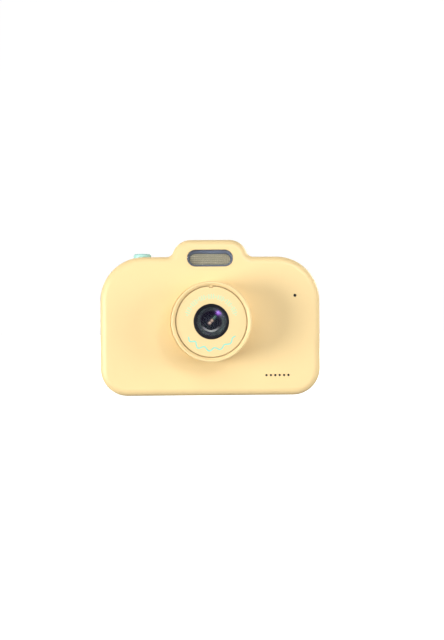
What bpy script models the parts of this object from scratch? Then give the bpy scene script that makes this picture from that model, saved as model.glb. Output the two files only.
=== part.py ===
"""A kids digital camera, modelled as separate solids that come apart as the real one does.

Frame: +Z is up and the lens looks along -Y, so +X is on the right of a person who faces the lens.
The origin is on the flat base, under the middle of the body's depth.
Sizes are in millimetres, and MM turns them into Blender's metres as each mesh is made.
"""

import math

import bmesh
import bpy
from mathutils import Matrix, Vector

MM = 0.001

# Body outline, seen from the front
BODY_WIDTH = 88.0
SHOULDER_TOP = 55.6
HUMP_TOP = 62.4
BASE_CORNER_RADIUS = 10.85
SHOULDER_CORNER_RADIUS = 17.5
HUMP_FLAT_HALF = 7.7
HUMP_RADIUS = 7.5
HUMP_FILLET_RADIUS = 2.8

# Shells, along the depth
FRONT_FACE = -12.5
REAR_FACE = 12.5
PARTING = 4.0
SEAM = 0.3
WALL = 2.0
EDGE_RADIUS = 3.0
LIP_GAP = 0.3
LIP_THICK = 1.0
LIP_REACH = 2.0
LIP_ROOT = 2.0
LIP_RAMP = 1.3
FIT = 0.3
SLIP = 0.2

# Lens, on an axis along Y
LENS_HEIGHT = 29.6
BARREL_RADIUS = 15.85
BARREL_LENGTH = 12.5
DISC_RADIUS = 13.9
DISC_SINK = 1.0
DISC_THICK = 1.2
BEZEL_RADIUS = 6.85
GLASS_RADIUS = 5.7
INNER_GLASS_RADIUS = 3.4
THROAT_DEPTH = 5.85
KEY_TAB_RADIUS = 0.9
BARREL_FACE = FRONT_FACE - BARREL_LENGTH
DISC_FACE = BARREL_FACE + DISC_SINK

# Flash, shutter, sound holes
FLASH_HEIGHT = 55.0
FLASH_LENGTH = 18.25
FLASH_WIDTH = 6.5
DIFFUSER_DROP = 0.4
SHUTTER_X = -27.15
SHUTTER_Y = -4.0
SHUTTER_RADIUS = 3.5
SHUTTER_TOP = 57.15
SHUTTER_TRAVEL = 0.8
SHUTTER_FLANGE_RADIUS = 4.1
SHUTTER_FLANGE_TOP = 52.4
MIC_X, MIC_Z = 33.9, 39.9
MIC_HOLE_RADIUS = 0.55
SPEAKER_X, SPEAKER_Z = 26.7, 8.0
SPEAKER_HOLES = 6
SPEAKER_PITCH = 1.76
SPEAKER_HOLE_RADIUS = 0.38

# Rear face: screen and keys
SCREEN_X, SCREEN_Z = 11.0, 29.5
SCREEN_WIDTH, SCREEN_HEIGHT = 47.0, 35.5
VIEW_WIDTH, VIEW_HEIGHT = 43.0, 32.0
LCD_WIDTH, LCD_HEIGHT, LCD_THICK = 46.0, 34.5, 2.4
LCD_BACK = 9.6
PAD_X, PAD_Z = -27.3, 27.0
PAD_REACH = 7.4
KEY_HALF_WIDTH = 2.0
KEY_STRAIGHT = 1.5
OK_RADIUS = 3.0
ROUND_KEY_RADIUS = 2.3
KEY_PROUD = 0.9
KEY_TRAVEL = 0.5
KEY_DEPTH = 2.8

# Boards and fasteners
BOARD_FRONT, BOARD_BACK = 0.4, 2.0
BOSS_RADIUS = 2.5
BOARD_BOSS_RADIUS = 2.1
PILOT_RADIUS = 1.0
PILOT_END = -6.0
BOSS_MEET = 2.0
SHELL_SCREWS = {
    "top_left": (-38.3, 43.0),
    "top_right": (38.3, 43.0),
    "base_left": (-37.8, 9.0),
    "base_right": (37.8, 9.0),
}
BOARD_SCREWS = {"top": (-16.0, 49.2), "base": (14.0, 7.5)}
SHELL_SCREW_SEAT = 7.3
SCREW_RADIUS = 0.8
SCREW_HEAD_RADIUS = 1.6

# Side ports and lanyard pocket
PORT_FRONT, PORT_BACK = -6.4, 1.2
PORT_LOW, PORT_HIGH = 12.5, 37.0
PORT_SINK = 1.7
COVER_THICK = 1.4
PORT_PAD_INNER = 40.2
USB_Z, USB_Y = 18.2, -1.5
CARD_Z, CARD_Y = 30.1, -0.65
LANYARD_Z, LANYARD_Y = 29.5, -2.25
LANYARD_DEPTH = 3.8
LANYARD_BAR_X = -42.9
LANYARD_BAR_RADIUS = 0.6

ROUND_STEPS = 48
SMALL_STEPS = 24
TINY_STEPS = 12

FINISHES = {
    "cream_plastic": ((0.90, 0.68, 0.34), 0.45, 0.0),
    "mint_plastic": ((0.45, 0.86, 0.72), 0.40, 0.0),
    "black_plastic": ((0.012, 0.012, 0.014), 0.35, 0.0),
    "slate_plastic": ((0.12, 0.15, 0.22), 0.40, 0.0),
    "clear_glass": ((0.85, 0.88, 0.92), 0.05, 0.0),
    "screen_glass": ((0.01, 0.01, 0.012), 0.08, 0.0),
    "flash_lens": ((0.50, 0.46, 0.38), 0.30, 0.0),
    "amber_phosphor": ((0.80, 0.62, 0.10), 0.50, 0.0),
    "green_board": ((0.02, 0.16, 0.06), 0.50, 0.0),
    "black_resin": ((0.02, 0.02, 0.02), 0.55, 0.0),
    "sensor_silicon": ((0.05, 0.04, 0.06), 0.25, 0.3),
    "red_filter": ((0.35, 0.08, 0.08), 0.10, 0.0),
    "flex_film": ((0.45, 0.22, 0.03), 0.40, 0.0),
    "silver_metal": ((0.62, 0.62, 0.64), 0.30, 1.0),
    "screw_steel": ((0.45, 0.45, 0.47), 0.35, 1.0),
    "battery_foil": ((0.55, 0.56, 0.58), 0.45, 0.6),
    "foam": ((0.03, 0.03, 0.03), 0.95, 0.0),
    "silicone": ((0.75, 0.76, 0.74), 0.60, 0.0),
    "port_rubber": ((0.88, 0.66, 0.33), 0.65, 0.0),
    "red_insulation": ((0.55, 0.02, 0.02), 0.45, 0.0),
    "black_insulation": ((0.02, 0.02, 0.02), 0.45, 0.0),
    "white_nylon": ((0.78, 0.76, 0.70), 0.50, 0.0),
}


# ---------- outlines: closed lists of (x, z) ----------


def arc(centre, radius, start, end, steps):
    """Points from angle start to angle end, in degrees, both ends included."""
    turns = [math.radians(start + (end - start) * i / steps) for i in range(steps + 1)]
    return [(centre[0] + radius * math.cos(a), centre[1] + radius * math.sin(a)) for a in turns]


def body_outline(inset=0.0):
    """The body's front outline moved inwards by inset, anticlockwise seen from the front."""
    half = BODY_WIDTH / 2
    base = (half - BASE_CORNER_RADIUS, BASE_CORNER_RADIUS)
    shoulder = (half - SHOULDER_CORNER_RADIUS, SHOULDER_TOP - SHOULDER_CORNER_RADIUS)
    hump = (HUMP_FLAT_HALF, HUMP_TOP - HUMP_RADIUS)
    rise = SHOULDER_TOP + HUMP_FILLET_RADIUS - hump[1]
    reach = math.sqrt((HUMP_RADIUS + HUMP_FILLET_RADIUS) ** 2 - rise**2)
    fillet = (hump[0] + reach, SHOULDER_TOP + HUMP_FILLET_RADIUS)
    meet = math.degrees(math.atan2(rise, reach))
    right = arc(base, BASE_CORNER_RADIUS - inset, -90, 0, 7)
    right += arc(shoulder, SHOULDER_CORNER_RADIUS - inset, 0, 90, 10)
    right += arc(fillet, HUMP_FILLET_RADIUS + inset, -90, meet - 180, 4)
    right += arc(hump, HUMP_RADIUS - inset, meet, 90, 6)[1:]
    return right + [(-x, z) for x, z in reversed(right)]


def stadium(straight, radius, steps=7, upright=False):
    """A slot shape: two half circles joined by straight sides, 2 * straight apart."""
    points = arc((straight, 0), radius, -90, 90, steps) + arc((-straight, 0), radius, 90, 270, steps)
    return [(-z, x) for x, z in points] if upright else points


def round_outline(radius, steps=SMALL_STEPS):
    return arc((0, 0), radius, 0, 360, steps)[:-1]


def oblong(width, height, corner=0.0, steps=3):
    """A rectangle about the origin, with round corners if corner is above 0."""
    x, z = width / 2 - corner, height / 2 - corner
    if not corner:
        return [(x, -z), (x, z), (-x, z), (-x, -z)]
    corners = (((x, -z), -90), ((x, z), 0), ((-x, z), 90), ((-x, -z), 180))
    return [p for place, start in corners for p in arc(place, corner, start, start + 90, steps)]


# ---------- shapes: each returns a bmesh in millimetres ----------


def loft(rings):
    """A solid through rings of (x, z) points, each given as (points, y), capped at both ends."""
    made = bmesh.new()
    loops = [[made.verts.new((x, y, z)) for x, z in points] for points, y in rings]
    count = len(loops[0])
    for low, high in zip(loops, loops[1:]):
        for i in range(count):
            j = (i + 1) % count
            made.faces.new((low[i], low[j], high[j], high[i]))
    made.faces.new(loops[0])
    made.faces.new(loops[-1])
    return made


def prism(points, front, back):
    """An outline extruded along Y."""
    made = bmesh.new()
    face = made.faces.new([made.verts.new((x, front, z)) for x, z in points])
    moved = bmesh.ops.extrude_face_region(made, geom=[face])["geom"]
    corners = [v for v in moved if isinstance(v, bmesh.types.BMVert)]
    bmesh.ops.translate(made, vec=(0, back - front, 0), verts=corners)
    return made


def block(low, high):
    """A box between two corners."""
    made = bmesh.new()
    size = Vector(high) - Vector(low)
    middle = (Vector(high) + Vector(low)) / 2
    bmesh.ops.create_cube(made, size=1.0, matrix=Matrix.Translation(middle) @ Matrix.Diagonal((*size, 1)))
    return made


def turned(profile, steps=ROUND_STEPS, closed=True):
    """A (radius, y) profile turned about the Y axis. An open profile starts and ends on the axis."""
    made = bmesh.new()
    verts = [made.verts.new((r, y, 0)) for r, y in profile]
    edges = [made.edges.new(pair) for pair in zip(verts, verts[1:])]
    if closed:
        edges.append(made.edges.new((verts[-1], verts[0])))
    middle, axis = (0, 0, 0), (0, 1, 0)
    bmesh.ops.spin(
        made, geom=verts + edges, cent=middle, axis=axis, angle=2 * math.pi, steps=steps, use_merge=True
    )
    bmesh.ops.remove_doubles(made, verts=made.verts, dist=1e-4)
    return made


def rod(radius, front, back, steps=TINY_STEPS):
    """A cylinder along Y."""
    return prism(round_outline(radius, steps), front, back)


def upright(shape):
    """Turns a shape made along Y so that its -Y end points up."""
    bmesh.ops.rotate(shape, cent=(0, 0, 0), matrix=Matrix.Rotation(-math.pi / 2, 3, "X"), verts=shape.verts)
    return shape


def moved(shape, x=0.0, y=0.0, z=0.0):
    bmesh.ops.translate(shape, vec=(x, y, z), verts=shape.verts)
    return shape


def at_each(places, make):
    """One shape from make at each (x, z) of the places."""
    return [moved(make(), x=x, z=z) for x, z in places.values()]


def together(shapes):
    """Several separate shapes in one mesh, for a cutter or a set of bosses."""
    made = bmesh.new()
    for shape in shapes:
        piece = bpy.data.meshes.new("piece")
        shape.to_mesh(piece)
        shape.free()
        made.from_mesh(piece)
        bpy.data.meshes.remove(piece)
    return made


def ribbon(path, width, thick):
    """A flat strip of the given width along X that follows a path of (y, z) points."""
    rings = []
    for i, (y, z) in enumerate(path):
        before, after = path[max(i - 1, 0)], path[min(i + 1, len(path) - 1)]
        along = Vector((after[0] - before[0], after[1] - before[1])).normalized()
        side = Vector((-along.y, along.x)) * thick / 2
        rings.append([(-width / 2, y + side.x, z + side.y), (width / 2, y + side.x, z + side.y),
                      (width / 2, y - side.x, z - side.y), (-width / 2, y - side.x, z - side.y)])
    made = bmesh.new()
    loops = [[made.verts.new(p) for p in ring] for ring in rings]
    for low, high in zip(loops, loops[1:]):
        for i in range(4):
            made.faces.new((low[i], low[(i + 1) % 4], high[(i + 1) % 4], high[i]))
    made.faces.new(loops[0])
    made.faces.new(loops[-1])
    return made


# ---------- objects ----------


def finish(name):
    """The Principled material of that name."""
    known = bpy.data.materials.get(name)
    if known:
        return known
    colour, roughness, metallic = FINISHES[name]
    material = bpy.data.materials.new(name)
    material.use_nodes = True
    shader = material.node_tree.nodes["Principled BSDF"]
    shader.inputs["Base Color"].default_value = (*colour, 1.0)
    shader.inputs["Roughness"].default_value = roughness
    shader.inputs["Metallic"].default_value = metallic
    return material


def mesh_object(name, shape, at):
    """An object whose mesh is the shape, in metres about the point at."""
    bmesh.ops.scale(shape, vec=(MM, MM, MM), verts=shape.verts)
    bmesh.ops.recalc_face_normals(shape, faces=shape.faces)
    mesh = bpy.data.meshes.new(name)
    shape.to_mesh(mesh)
    shape.free()
    obj = bpy.data.objects.new(name, mesh)
    obj.location = Vector(at) * MM
    bpy.context.scene.collection.objects.link(obj)
    return obj


def part(name, shape, material, at=(0, 0, 0), smooth=True):
    """One piece of the camera."""
    obj = mesh_object(name, shape, at)
    obj.data.materials.append(finish(material))
    if smooth:
        obj.data.shade_smooth()
        obj.data.set_sharp_from_angle(angle=math.radians(35))
    obj.parent = bpy.data.objects["camera_frame"]
    return obj


def boolean(obj, operation, name, shape, at=(0, 0, 0)):
    """Joins the shape to obj, or cuts it away, with a hidden helper object."""
    helper = mesh_object(name, shape, at)
    helper.hide_render = True
    helper.display_type = "WIRE"
    modifier = obj.modifiers.new(name, "BOOLEAN")
    modifier.operation = operation
    modifier.solver = "EXACT"
    modifier.object = helper


def cut(obj, name, shape, at=(0, 0, 0)):
    boolean(obj, "DIFFERENCE", name, shape, at)


def add(obj, name, shape, at=(0, 0, 0)):
    boolean(obj, "UNION", name, shape, at)


# ---------- casings ----------


def edge_rings(face, towards, steps=4):
    """Outer rings of a shell from its flat face round its edge radius; towards is +1 or -1 along Y."""
    rings = []
    for i in range(steps + 1):
        turn = math.radians(90 * i / steps)
        inset = EDGE_RADIUS * (1 - math.sin(turn))
        rings.append((body_outline(inset), face + towards * EDGE_RADIUS * (1 - math.cos(turn))))
    return rings


def sound_holes():
    """The row of speaker holes and the single microphone hole, as cutters through the front wall."""
    through = (FRONT_FACE - 1, FRONT_FACE + WALL + 1)
    first = SPEAKER_X - SPEAKER_PITCH * (SPEAKER_HOLES - 1) / 2
    holes = [
        moved(rod(SPEAKER_HOLE_RADIUS, *through, steps=8), x=first + SPEAKER_PITCH * i, z=SPEAKER_Z)
        for i in range(SPEAKER_HOLES)
    ]
    return holes + [moved(rod(MIC_HOLE_RADIUS, *through), x=MIC_X, z=MIC_Z)]


def build_front_shell():
    side = BODY_WIDTH / 2
    inner_front = FRONT_FACE + WALL
    rings = edge_rings(FRONT_FACE, 1)
    rings += [(body_outline(0), PARTING), (body_outline(WALL), PARTING), (body_outline(WALL), inner_front)]
    shell = part("front_shell", loft(rings), "cream_plastic")
    root = inner_front - 0.5
    bosses = at_each(SHELL_SCREWS, lambda: rod(BOSS_RADIUS, root, BOSS_MEET))
    bosses += at_each(BOARD_SCREWS, lambda: rod(BOARD_BOSS_RADIUS, root, BOARD_FRONT - FIT))
    bosses.append(
        block((PORT_PAD_INNER, PORT_FRONT - 0.8, PORT_LOW - 1), (side - 1, BOSS_MEET, PORT_HIGH + 1))
    )
    behind = LANYARD_DEPTH + 1.3 - side
    bosses.append(
        block((1 - side, LANYARD_Y - 3.6, LANYARD_Z - 6), (behind, LANYARD_Y + 3.6, LANYARD_Z + 6))
    )
    add(shell, "front_bosses", together(bosses))
    holes = sound_holes()
    bore = rod(BARREL_RADIUS + 0.15, FRONT_FACE - 1, inner_front + 1, ROUND_STEPS)
    holes.append(moved(bore, z=LENS_HEIGHT))
    window = stadium((FLASH_LENGTH - FLASH_WIDTH) / 2, FLASH_WIDTH / 2 + 0.15, 10)
    holes.append(moved(prism(window, FRONT_FACE - 1, inner_front + 1), z=FLASH_HEIGHT))
    shaft = upright(rod(SHUTTER_RADIUS + 0.25, -4, 4, SMALL_STEPS))
    holes.append(moved(shaft, SHUTTER_X, SHUTTER_Y, SHOULDER_TOP))
    holes += at_each(SHELL_SCREWS, lambda: rod(PILOT_RADIUS, PILOT_END, BOSS_MEET + 1))
    holes += at_each(BOARD_SCREWS, lambda: rod(PILOT_RADIUS, PILOT_END, BOARD_FRONT + 1))
    holes.append(block((side - PORT_SINK, PORT_FRONT, PORT_LOW), (side + 1, PORT_BACK, PORT_HIGH)))
    floor = LANYARD_DEPTH - side
    holes.append(
        block((-side - 1, LANYARD_Y - 2.6, LANYARD_Z - 3.5), (floor, LANYARD_Y + 2.6, LANYARD_Z + 3.5))
    )
    cut(shell, "front_holes", together(holes))
    deeper = [
        block((PORT_PAD_INNER - 1, USB_Y - 2.0, USB_Z - 4.9), (side - 1, USB_Y + 2.0, USB_Z + 4.9)),
        block((PORT_PAD_INNER - 1, CARD_Y - 0.9, CARD_Z - 6.0), (side - 1, CARD_Y + 0.9, CARD_Z + 6.0)),
    ]
    deeper.append(
        moved(upright(rod(LANYARD_BAR_RADIUS + SLIP, -5, 5)), x=LANYARD_BAR_X, y=LANYARD_Y, z=LANYARD_Z)
    )
    cut(shell, "front_deeper_holes", together(deeper))


def build_rear_shell():
    start = PARTING + SEAM
    lip_outer = WALL + LIP_GAP
    lip_inner = lip_outer + LIP_THICK
    rings = edge_rings(REAR_FACE, -1)
    rings += [
        (body_outline(0), start),
        (body_outline(lip_outer), start),
        (body_outline(lip_outer), start - LIP_REACH),
        (body_outline(lip_inner), start - LIP_REACH),
        (body_outline(lip_inner), start + LIP_ROOT),
        (body_outline(WALL), start + LIP_ROOT + LIP_RAMP),
        (body_outline(WALL), REAR_FACE - WALL),
    ]
    shell = part("rear_shell", loft(rings), "cream_plastic")
    posts = at_each(SHELL_SCREWS, lambda: rod(BOSS_RADIUS, BOSS_MEET + SEAM, REAR_FACE - 1))
    add(shell, "rear_posts", together(posts))
    recess = oblong(SCREEN_WIDTH + 2 * SLIP, SCREEN_HEIGHT + 2 * SLIP, 2.2)
    holes = [moved(prism(recess, REAR_FACE - 1.2, REAR_FACE + 1), x=SCREEN_X, z=SCREEN_Z)]
    holes += at_each(SHELL_SCREWS, lambda: rod(SCREW_HEAD_RADIUS + SLIP, SHELL_SCREW_SEAT, REAR_FACE + 1, 16))
    for x, z, straight, radius, standing in KEYS.values():
        opening = stadium(straight, radius + 0.25, 5, standing)
        holes.append(moved(prism(opening, REAR_FACE - WALL - 1, REAR_FACE + 1), x=x, z=z))
    cut(shell, "rear_holes", together(holes))
    window = prism(oblong(VIEW_WIDTH, VIEW_HEIGHT, 1.0), REAR_FACE - WALL - 1, REAR_FACE)
    through = [moved(window, x=SCREEN_X, z=SCREEN_Z)]
    through += at_each(SHELL_SCREWS, lambda: rod(SCREW_RADIUS + 0.25, 0, SHELL_SCREW_SEAT + 1))
    cut(shell, "rear_through_holes", together(through))


# ---------- lens ----------


def build_barrel():
    outer, inner, wide = BARREL_RADIUS, DISC_RADIUS + FIT, BARREL_RADIUS + 2
    behind = FRONT_FACE + WALL + FIT
    shelf = DISC_FACE + DISC_THICK + FIT
    profile = [(wide, behind), (outer, behind)]
    profile += [(outer, BARREL_FACE + 0.5), (outer - 0.12, BARREL_FACE + 0.18), (outer - 0.4, BARREL_FACE)]
    profile += [(outer - 0.6, BARREL_FACE + 0.06), (inner, BARREL_FACE + 0.75), (inner, shelf)]
    profile += [(BEZEL_RADIUS + FIT, shelf), (BEZEL_RADIUS + FIT, shelf + 1.2), (inner - 0.45, shelf + 1.2)]
    profile += [(inner - 0.45, behind + 1.2), (wide, behind + 1.2)]
    barrel = part("lens_barrel", turned(profile), "cream_plastic", (0, 0, LENS_HEIGHT))
    tab = moved(rod(KEY_TAB_RADIUS, BARREL_FACE + 0.85, shelf + 0.5, 16), z=inner)
    add(barrel, "barrel_tab", tab, (0, 0, LENS_HEIGHT))


def build_trim_disc():
    back = DISC_FACE + DISC_THICK
    hole = BEZEL_RADIUS + SLIP
    profile = [(hole, DISC_FACE), (DISC_RADIUS - 0.12, DISC_FACE), (DISC_RADIUS, DISC_FACE + 0.12)]
    profile += [(DISC_RADIUS, back), (hole, back)]
    disc = part("lens_trim_disc", turned(profile), "cream_plastic", (0, 0, LENS_HEIGHT))
    notch = moved(rod(KEY_TAB_RADIUS + 0.25, DISC_FACE - 1, back + 1, 16), z=DISC_RADIUS + FIT)
    cut(disc, "disc_notch", notch, (0, 0, LENS_HEIGHT))


def dome(radius, edge, height, steps=5):
    """Profile points (radius, y) of a lens surface from its edge to its middle, bulging towards -Y."""
    curve = (radius**2 + height**2) / (2 * height)
    turns = [math.asin(radius / curve) * (1 - i / steps) for i in range(steps + 1)]
    return [(curve * math.sin(a), edge + curve * (1 - math.cos(a)) - height) for a in turns]


def build_lens_stack():
    axis = (0, 0, LENS_HEIGHT)
    web = DISC_FACE + DISC_THICK + FIT + 1.2
    face = DISC_FACE - 0.15
    seat = GLASS_RADIUS + SLIP
    profile = [(seat, face), (BEZEL_RADIUS - 0.25, face)]
    profile += [(BEZEL_RADIUS, face + 0.25), (BEZEL_RADIUS, web + FIT)]
    profile += [(8.5, web + FIT), (8.5, web + 1.3), (5.2, web + 1.3), (5.2, face + 1.35), (seat, face + 1.35)]
    part("lens_bezel", turned(profile, SMALL_STEPS + 8), "black_plastic", axis)
    glass = [(0, face + 1.1), (GLASS_RADIUS, face + 1.1)] + dome(GLASS_RADIUS, face + 0.35, 1.0)
    part("front_glass", turned(glass, SMALL_STEPS + 8, closed=False), "clear_glass", axis)
    throat, bore = face + THROAT_DEPTH, INNER_GLASS_RADIUS + SLIP
    baffle = [(5.0, face + 1.6), (5.0, throat), (bore, throat), (bore, throat - 0.85), (4.7, face + 1.6)]
    part("lens_baffle", turned(baffle, SMALL_STEPS), "black_plastic", axis)
    inner = [(0, throat + 0.25), (INNER_GLASS_RADIUS, throat + 0.25)]
    inner += dome(INNER_GLASS_RADIUS, throat - 0.25, 0.9)
    part("inner_lens", turned(inner, SMALL_STEPS, closed=False), "clear_glass", axis)
    stop = throat + 0.6
    iris = [(0.7, stop), (4.8, stop), (4.8, stop + 0.3), (0.7, stop + 0.3)]
    part("iris_plate", turned(iris, 16), "black_plastic", axis)
    tube = [(3.8, stop + 0.6), (5.0, stop + 0.6), (5.0, -13.5), (3.8, -13.5)]
    part("lens_tube", turned(tube, SMALL_STEPS), "black_plastic", axis)


def build_image_module():
    axis = (0, 0, LENS_HEIGHT)
    shell = block((-6, -13.2, -6), (6, -8.4, 6))
    housing = part("sensor_housing", shell, "black_plastic", axis, smooth=False)
    cut(housing, "housing_bore", rod(2.8, -14, -10, SMALL_STEPS), axis)
    cut(housing, "housing_pocket", block((-4, -10.4, -4), (4, -8, 4)), axis)
    part("ir_filter", rod(2.5, -11.2, -10.8, SMALL_STEPS), "red_filter", axis)
    part("image_sensor", block((-3, -9.2, -2.5), (3, -8.4, 2.5)), "sensor_silicon", axis, smooth=False)
    part("sensor_board", block((-8, -8.1, -8), (8, -7.1, 8)), "green_board", axis, smooth=False)
    start, end = (-6.8, LENS_HEIGHT - 5), (0.0, 12.0)
    ease = [i / 14 for i in range(15)]
    back, up = end[0] - start[0], end[1] - start[1]
    path = [(start[0] + back * t * t * (3 - 2 * t), start[1] + up * t) for t in ease]
    part("sensor_flex", ribbon(path, 7.0, 0.25), "flex_film")


# ---------- flash ----------


def build_flash():
    place = (0, 0, FLASH_HEIGHT)
    straight, radius = (FLASH_LENGTH - FLASH_WIDTH) / 2, FLASH_WIDTH / 2
    front = FRONT_FACE + 0.05
    rings = [(stadium(straight, radius - 0.2, 10), front), (stadium(straight, radius, 10), front + 0.2)]
    rings.append((stadium(straight, radius, 10), front + 1.1))
    part("flash_window", loft(rings), "clear_glass", place)
    tray = front + 1.4
    rings = [(stadium(straight, radius - SLIP, 8), tray), (stadium(straight, radius - SLIP, 8), -10.2)]
    rings += [(stadium(straight, radius + 1.1, 8), -10.2), (stadium(straight, radius + 1.1, 8), -9.2)]
    rings += [(stadium(straight, radius - SLIP, 8), -9.2), (stadium(straight, radius - SLIP, 8), -6.7)]
    reflector = part("flash_reflector", loft(rings), "slate_plastic", place)
    low_place = (0, 0, FLASH_HEIGHT - DIFFUSER_DROP)
    bore = prism(stadium(straight + 0.1, radius - 1.0, 8), tray - 1, -6)
    cut(reflector, "reflector_bore", bore, low_place)
    diffuser = prism(stadium(straight + 0.1, radius - 1.2, 8), tray + 0.1, tray + 0.8)
    part("flash_diffuser", diffuser, "flash_lens", low_place)
    for name, x in (("flash_led_left", -3.5), ("flash_led_right", 3.5)):
        lamp = block((-1.75, -7.4, -1.4), (1.75, -6.7, 1.4))
        part(name, lamp, "amber_phosphor", (x, 0, FLASH_HEIGHT), smooth=False)
    part("flash_board", block((-9.0, -6.4, -4.0), (9.0, -5.4, 3.2)), "green_board", place, smooth=False)


# ---------- shutter button ----------


def build_shutter():
    """The button is made along Y, with its top towards -Y, and then stood up."""
    place = (SHUTTER_X, SHUTTER_Y, SHUTTER_TOP)
    underside = SHUTTER_TOP - SHUTTER_FLANGE_TOP
    cap = [(0, 0), (SHUTTER_RADIUS - 0.9, 0.03), (SHUTTER_RADIUS - 0.35, 0.14), (SHUTTER_RADIUS - 0.08, 0.42)]
    cap += [(SHUTTER_RADIUS, 0.8), (SHUTTER_RADIUS, underside)]
    cap += [(SHUTTER_FLANGE_RADIUS, underside), (SHUTTER_FLANGE_RADIUS, underside + 0.9)]
    cap += [(1.4, underside + 0.9), (1.4, underside + 2.3), (0, underside + 2.3)]
    part("shutter_button", upright(turned(cap, SMALL_STEPS + 8, closed=False)), "mint_plastic", place)
    stem_end = SHUTTER_TOP - underside - 2.3
    plunger_top = stem_end - FIT
    length, engaged = 3.8, 0.7
    place = (SHUTTER_X, SHUTTER_Y, plunger_top)
    part("shutter_plunger", upright(rod(1.3, 0, length)), "black_plastic", place)
    top = plunger_top - length + engaged
    body = block((-3, -2.8, -4), (3, 4.1, 0))
    place = (SHUTTER_X, SHUTTER_Y, top)
    switch = part("shutter_switch", body, "black_resin", place, smooth=False)
    bore = rod(1.6, -1, engaged + SHUTTER_TRAVEL + FIT, 16)
    cut(switch, "switch_bore", upright(bore), place)


# ---------- rear keys ----------

# Left and right are as the user sees them from behind, so left is at the larger X.
KEYS = {
    "key_up": (PAD_X, PAD_Z + PAD_REACH, KEY_STRAIGHT, KEY_HALF_WIDTH, False),
    "key_down": (PAD_X, PAD_Z - PAD_REACH, KEY_STRAIGHT, KEY_HALF_WIDTH, False),
    "key_left": (PAD_X + PAD_REACH, PAD_Z, KEY_STRAIGHT, KEY_HALF_WIDTH, True),
    "key_right": (PAD_X - PAD_REACH, PAD_Z, KEY_STRAIGHT, KEY_HALF_WIDTH, True),
    "key_ok": (PAD_X, PAD_Z, 0.0, OK_RADIUS, False),
    "mode_button": (PAD_X - 4.9, 44.3, 0.0, ROUND_KEY_RADIUS, False),
    "power_button": (PAD_X + 4.9, 44.3, 0.0, ROUND_KEY_RADIUS, False),
    "playback_button": (PAD_X, 10.2, 0.0, ROUND_KEY_RADIUS, False),
}


def build_keys():
    """Each key slides along Y: a stem, a flange that the rear wall holds back, and a round-edged cap."""
    flange_back = REAR_FACE - WALL - FIT
    stem_front = flange_back - KEY_DEPTH
    top = REAR_FACE + KEY_PROUD
    for name, (x, z, straight, radius, standing) in KEYS.items():
        steps = ((-1.0, stem_front), (-1.0, flange_back - 0.9), (0.7, flange_back - 0.9), (0.7, flange_back))
        steps += ((0.0, flange_back), (0.0, top - 0.5), (-0.15, top - 0.15), (-0.5, top))
        if straight == 0.0:
            straight = 0.01
        rings = [(stadium(straight, radius + grow, 5, standing), y - REAR_FACE) for grow, y in steps]
        part(name, loft(rings), "mint_plastic", (x, REAR_FACE, z))


def build_key_mat():
    """A silicone sheet on the board, with a dome under each key and room between them for its travel."""
    dome_top = REAR_FACE - WALL - FIT - KEY_DEPTH - KEY_TRAVEL - FIT
    outline = [(-34.9, 6.6), (-17.4, 6.6), (-17.4, 47.2), (-34.9, 47.2)]
    outline += [(-34.9, 39.0), (-37.2, 37.5), (-37.2, 14.5), (-34.9, 13.0)]
    mat = part("key_mat", prism(outline, BOARD_BACK + FIT, BOARD_BACK + FIT + 0.8), "silicone", smooth=False)
    root = BOARD_BACK + FIT + 0.4
    domes = []
    for x, z, _, _, _ in KEYS.values():
        steps = ((2.2, root), (2.2, root + 1.2), (1.5, dome_top - 0.6), (1.2, dome_top))
        rings = [(round_outline(radius, TINY_STEPS), y) for radius, y in steps]
        domes.append(moved(loft(rings), x=x, z=z))
    add(mat, "mat_domes", together(domes))


# ---------- screen ----------


def build_screen():
    place = (SCREEN_X, 0, SCREEN_Z)
    outline = oblong(SCREEN_WIDTH, SCREEN_HEIGHT, 2.0)
    inner = oblong(SCREEN_WIDTH - 0.3, SCREEN_HEIGHT - 0.3, 1.85)
    rings = [(outline, REAR_FACE - 1.1 + 0.2), (outline, REAR_FACE - 0.2), (inner, REAR_FACE - 0.05)]
    part("screen_window", loft(rings), "screen_glass", place)
    pad = prism(oblong(VIEW_WIDTH + 2.6, VIEW_HEIGHT + 2.2), 9.75, 10.35)
    gasket = part("screen_gasket", pad, "foam", place)
    cut(gasket, "gasket_hole", prism(oblong(VIEW_WIDTH, VIEW_HEIGHT), 9, 11), place)
    lcd = prism(oblong(LCD_WIDTH, LCD_HEIGHT), LCD_BACK - LCD_THICK, LCD_BACK)
    part("lcd_panel", lcd, "black_resin", place, smooth=False)
    floor = LCD_BACK - LCD_THICK - FIT - 1.1
    tray = prism(oblong(LCD_WIDTH + 2.6, LCD_HEIGHT + 2.6), floor, 9.0)
    frame = part("lcd_frame", tray, "black_plastic", place, smooth=False)
    cut(frame, "frame_pocket", prism(oblong(LCD_WIDTH + 0.6, LCD_HEIGHT + 0.6), floor + 1.1, 10), place)
    drop = -LCD_HEIGHT / 2
    notch = block((6, floor + 1.3, drop - 4), (20, 10, drop + 1))
    cut(frame, "frame_notch", notch, place)
    low, high, bend = BOARD_BACK + 0.4, 8.2, 9.4
    middle, radius = (low + high) / 2, (high - low) / 2
    path = [(high, SCREEN_Z + drop - FIT), (high, 10.6)]
    path += [(middle + radius * math.cos(a), bend - radius * math.sin(a)) for a in
             (math.pi * i / 10 for i in range(11))]
    path.append((low, 12.5))
    part("lcd_flex", ribbon(path, 12.0, 0.25), "flex_film", (SCREEN_X + 13, 0, 0))


# ---------- boards, battery, sound ----------


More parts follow.
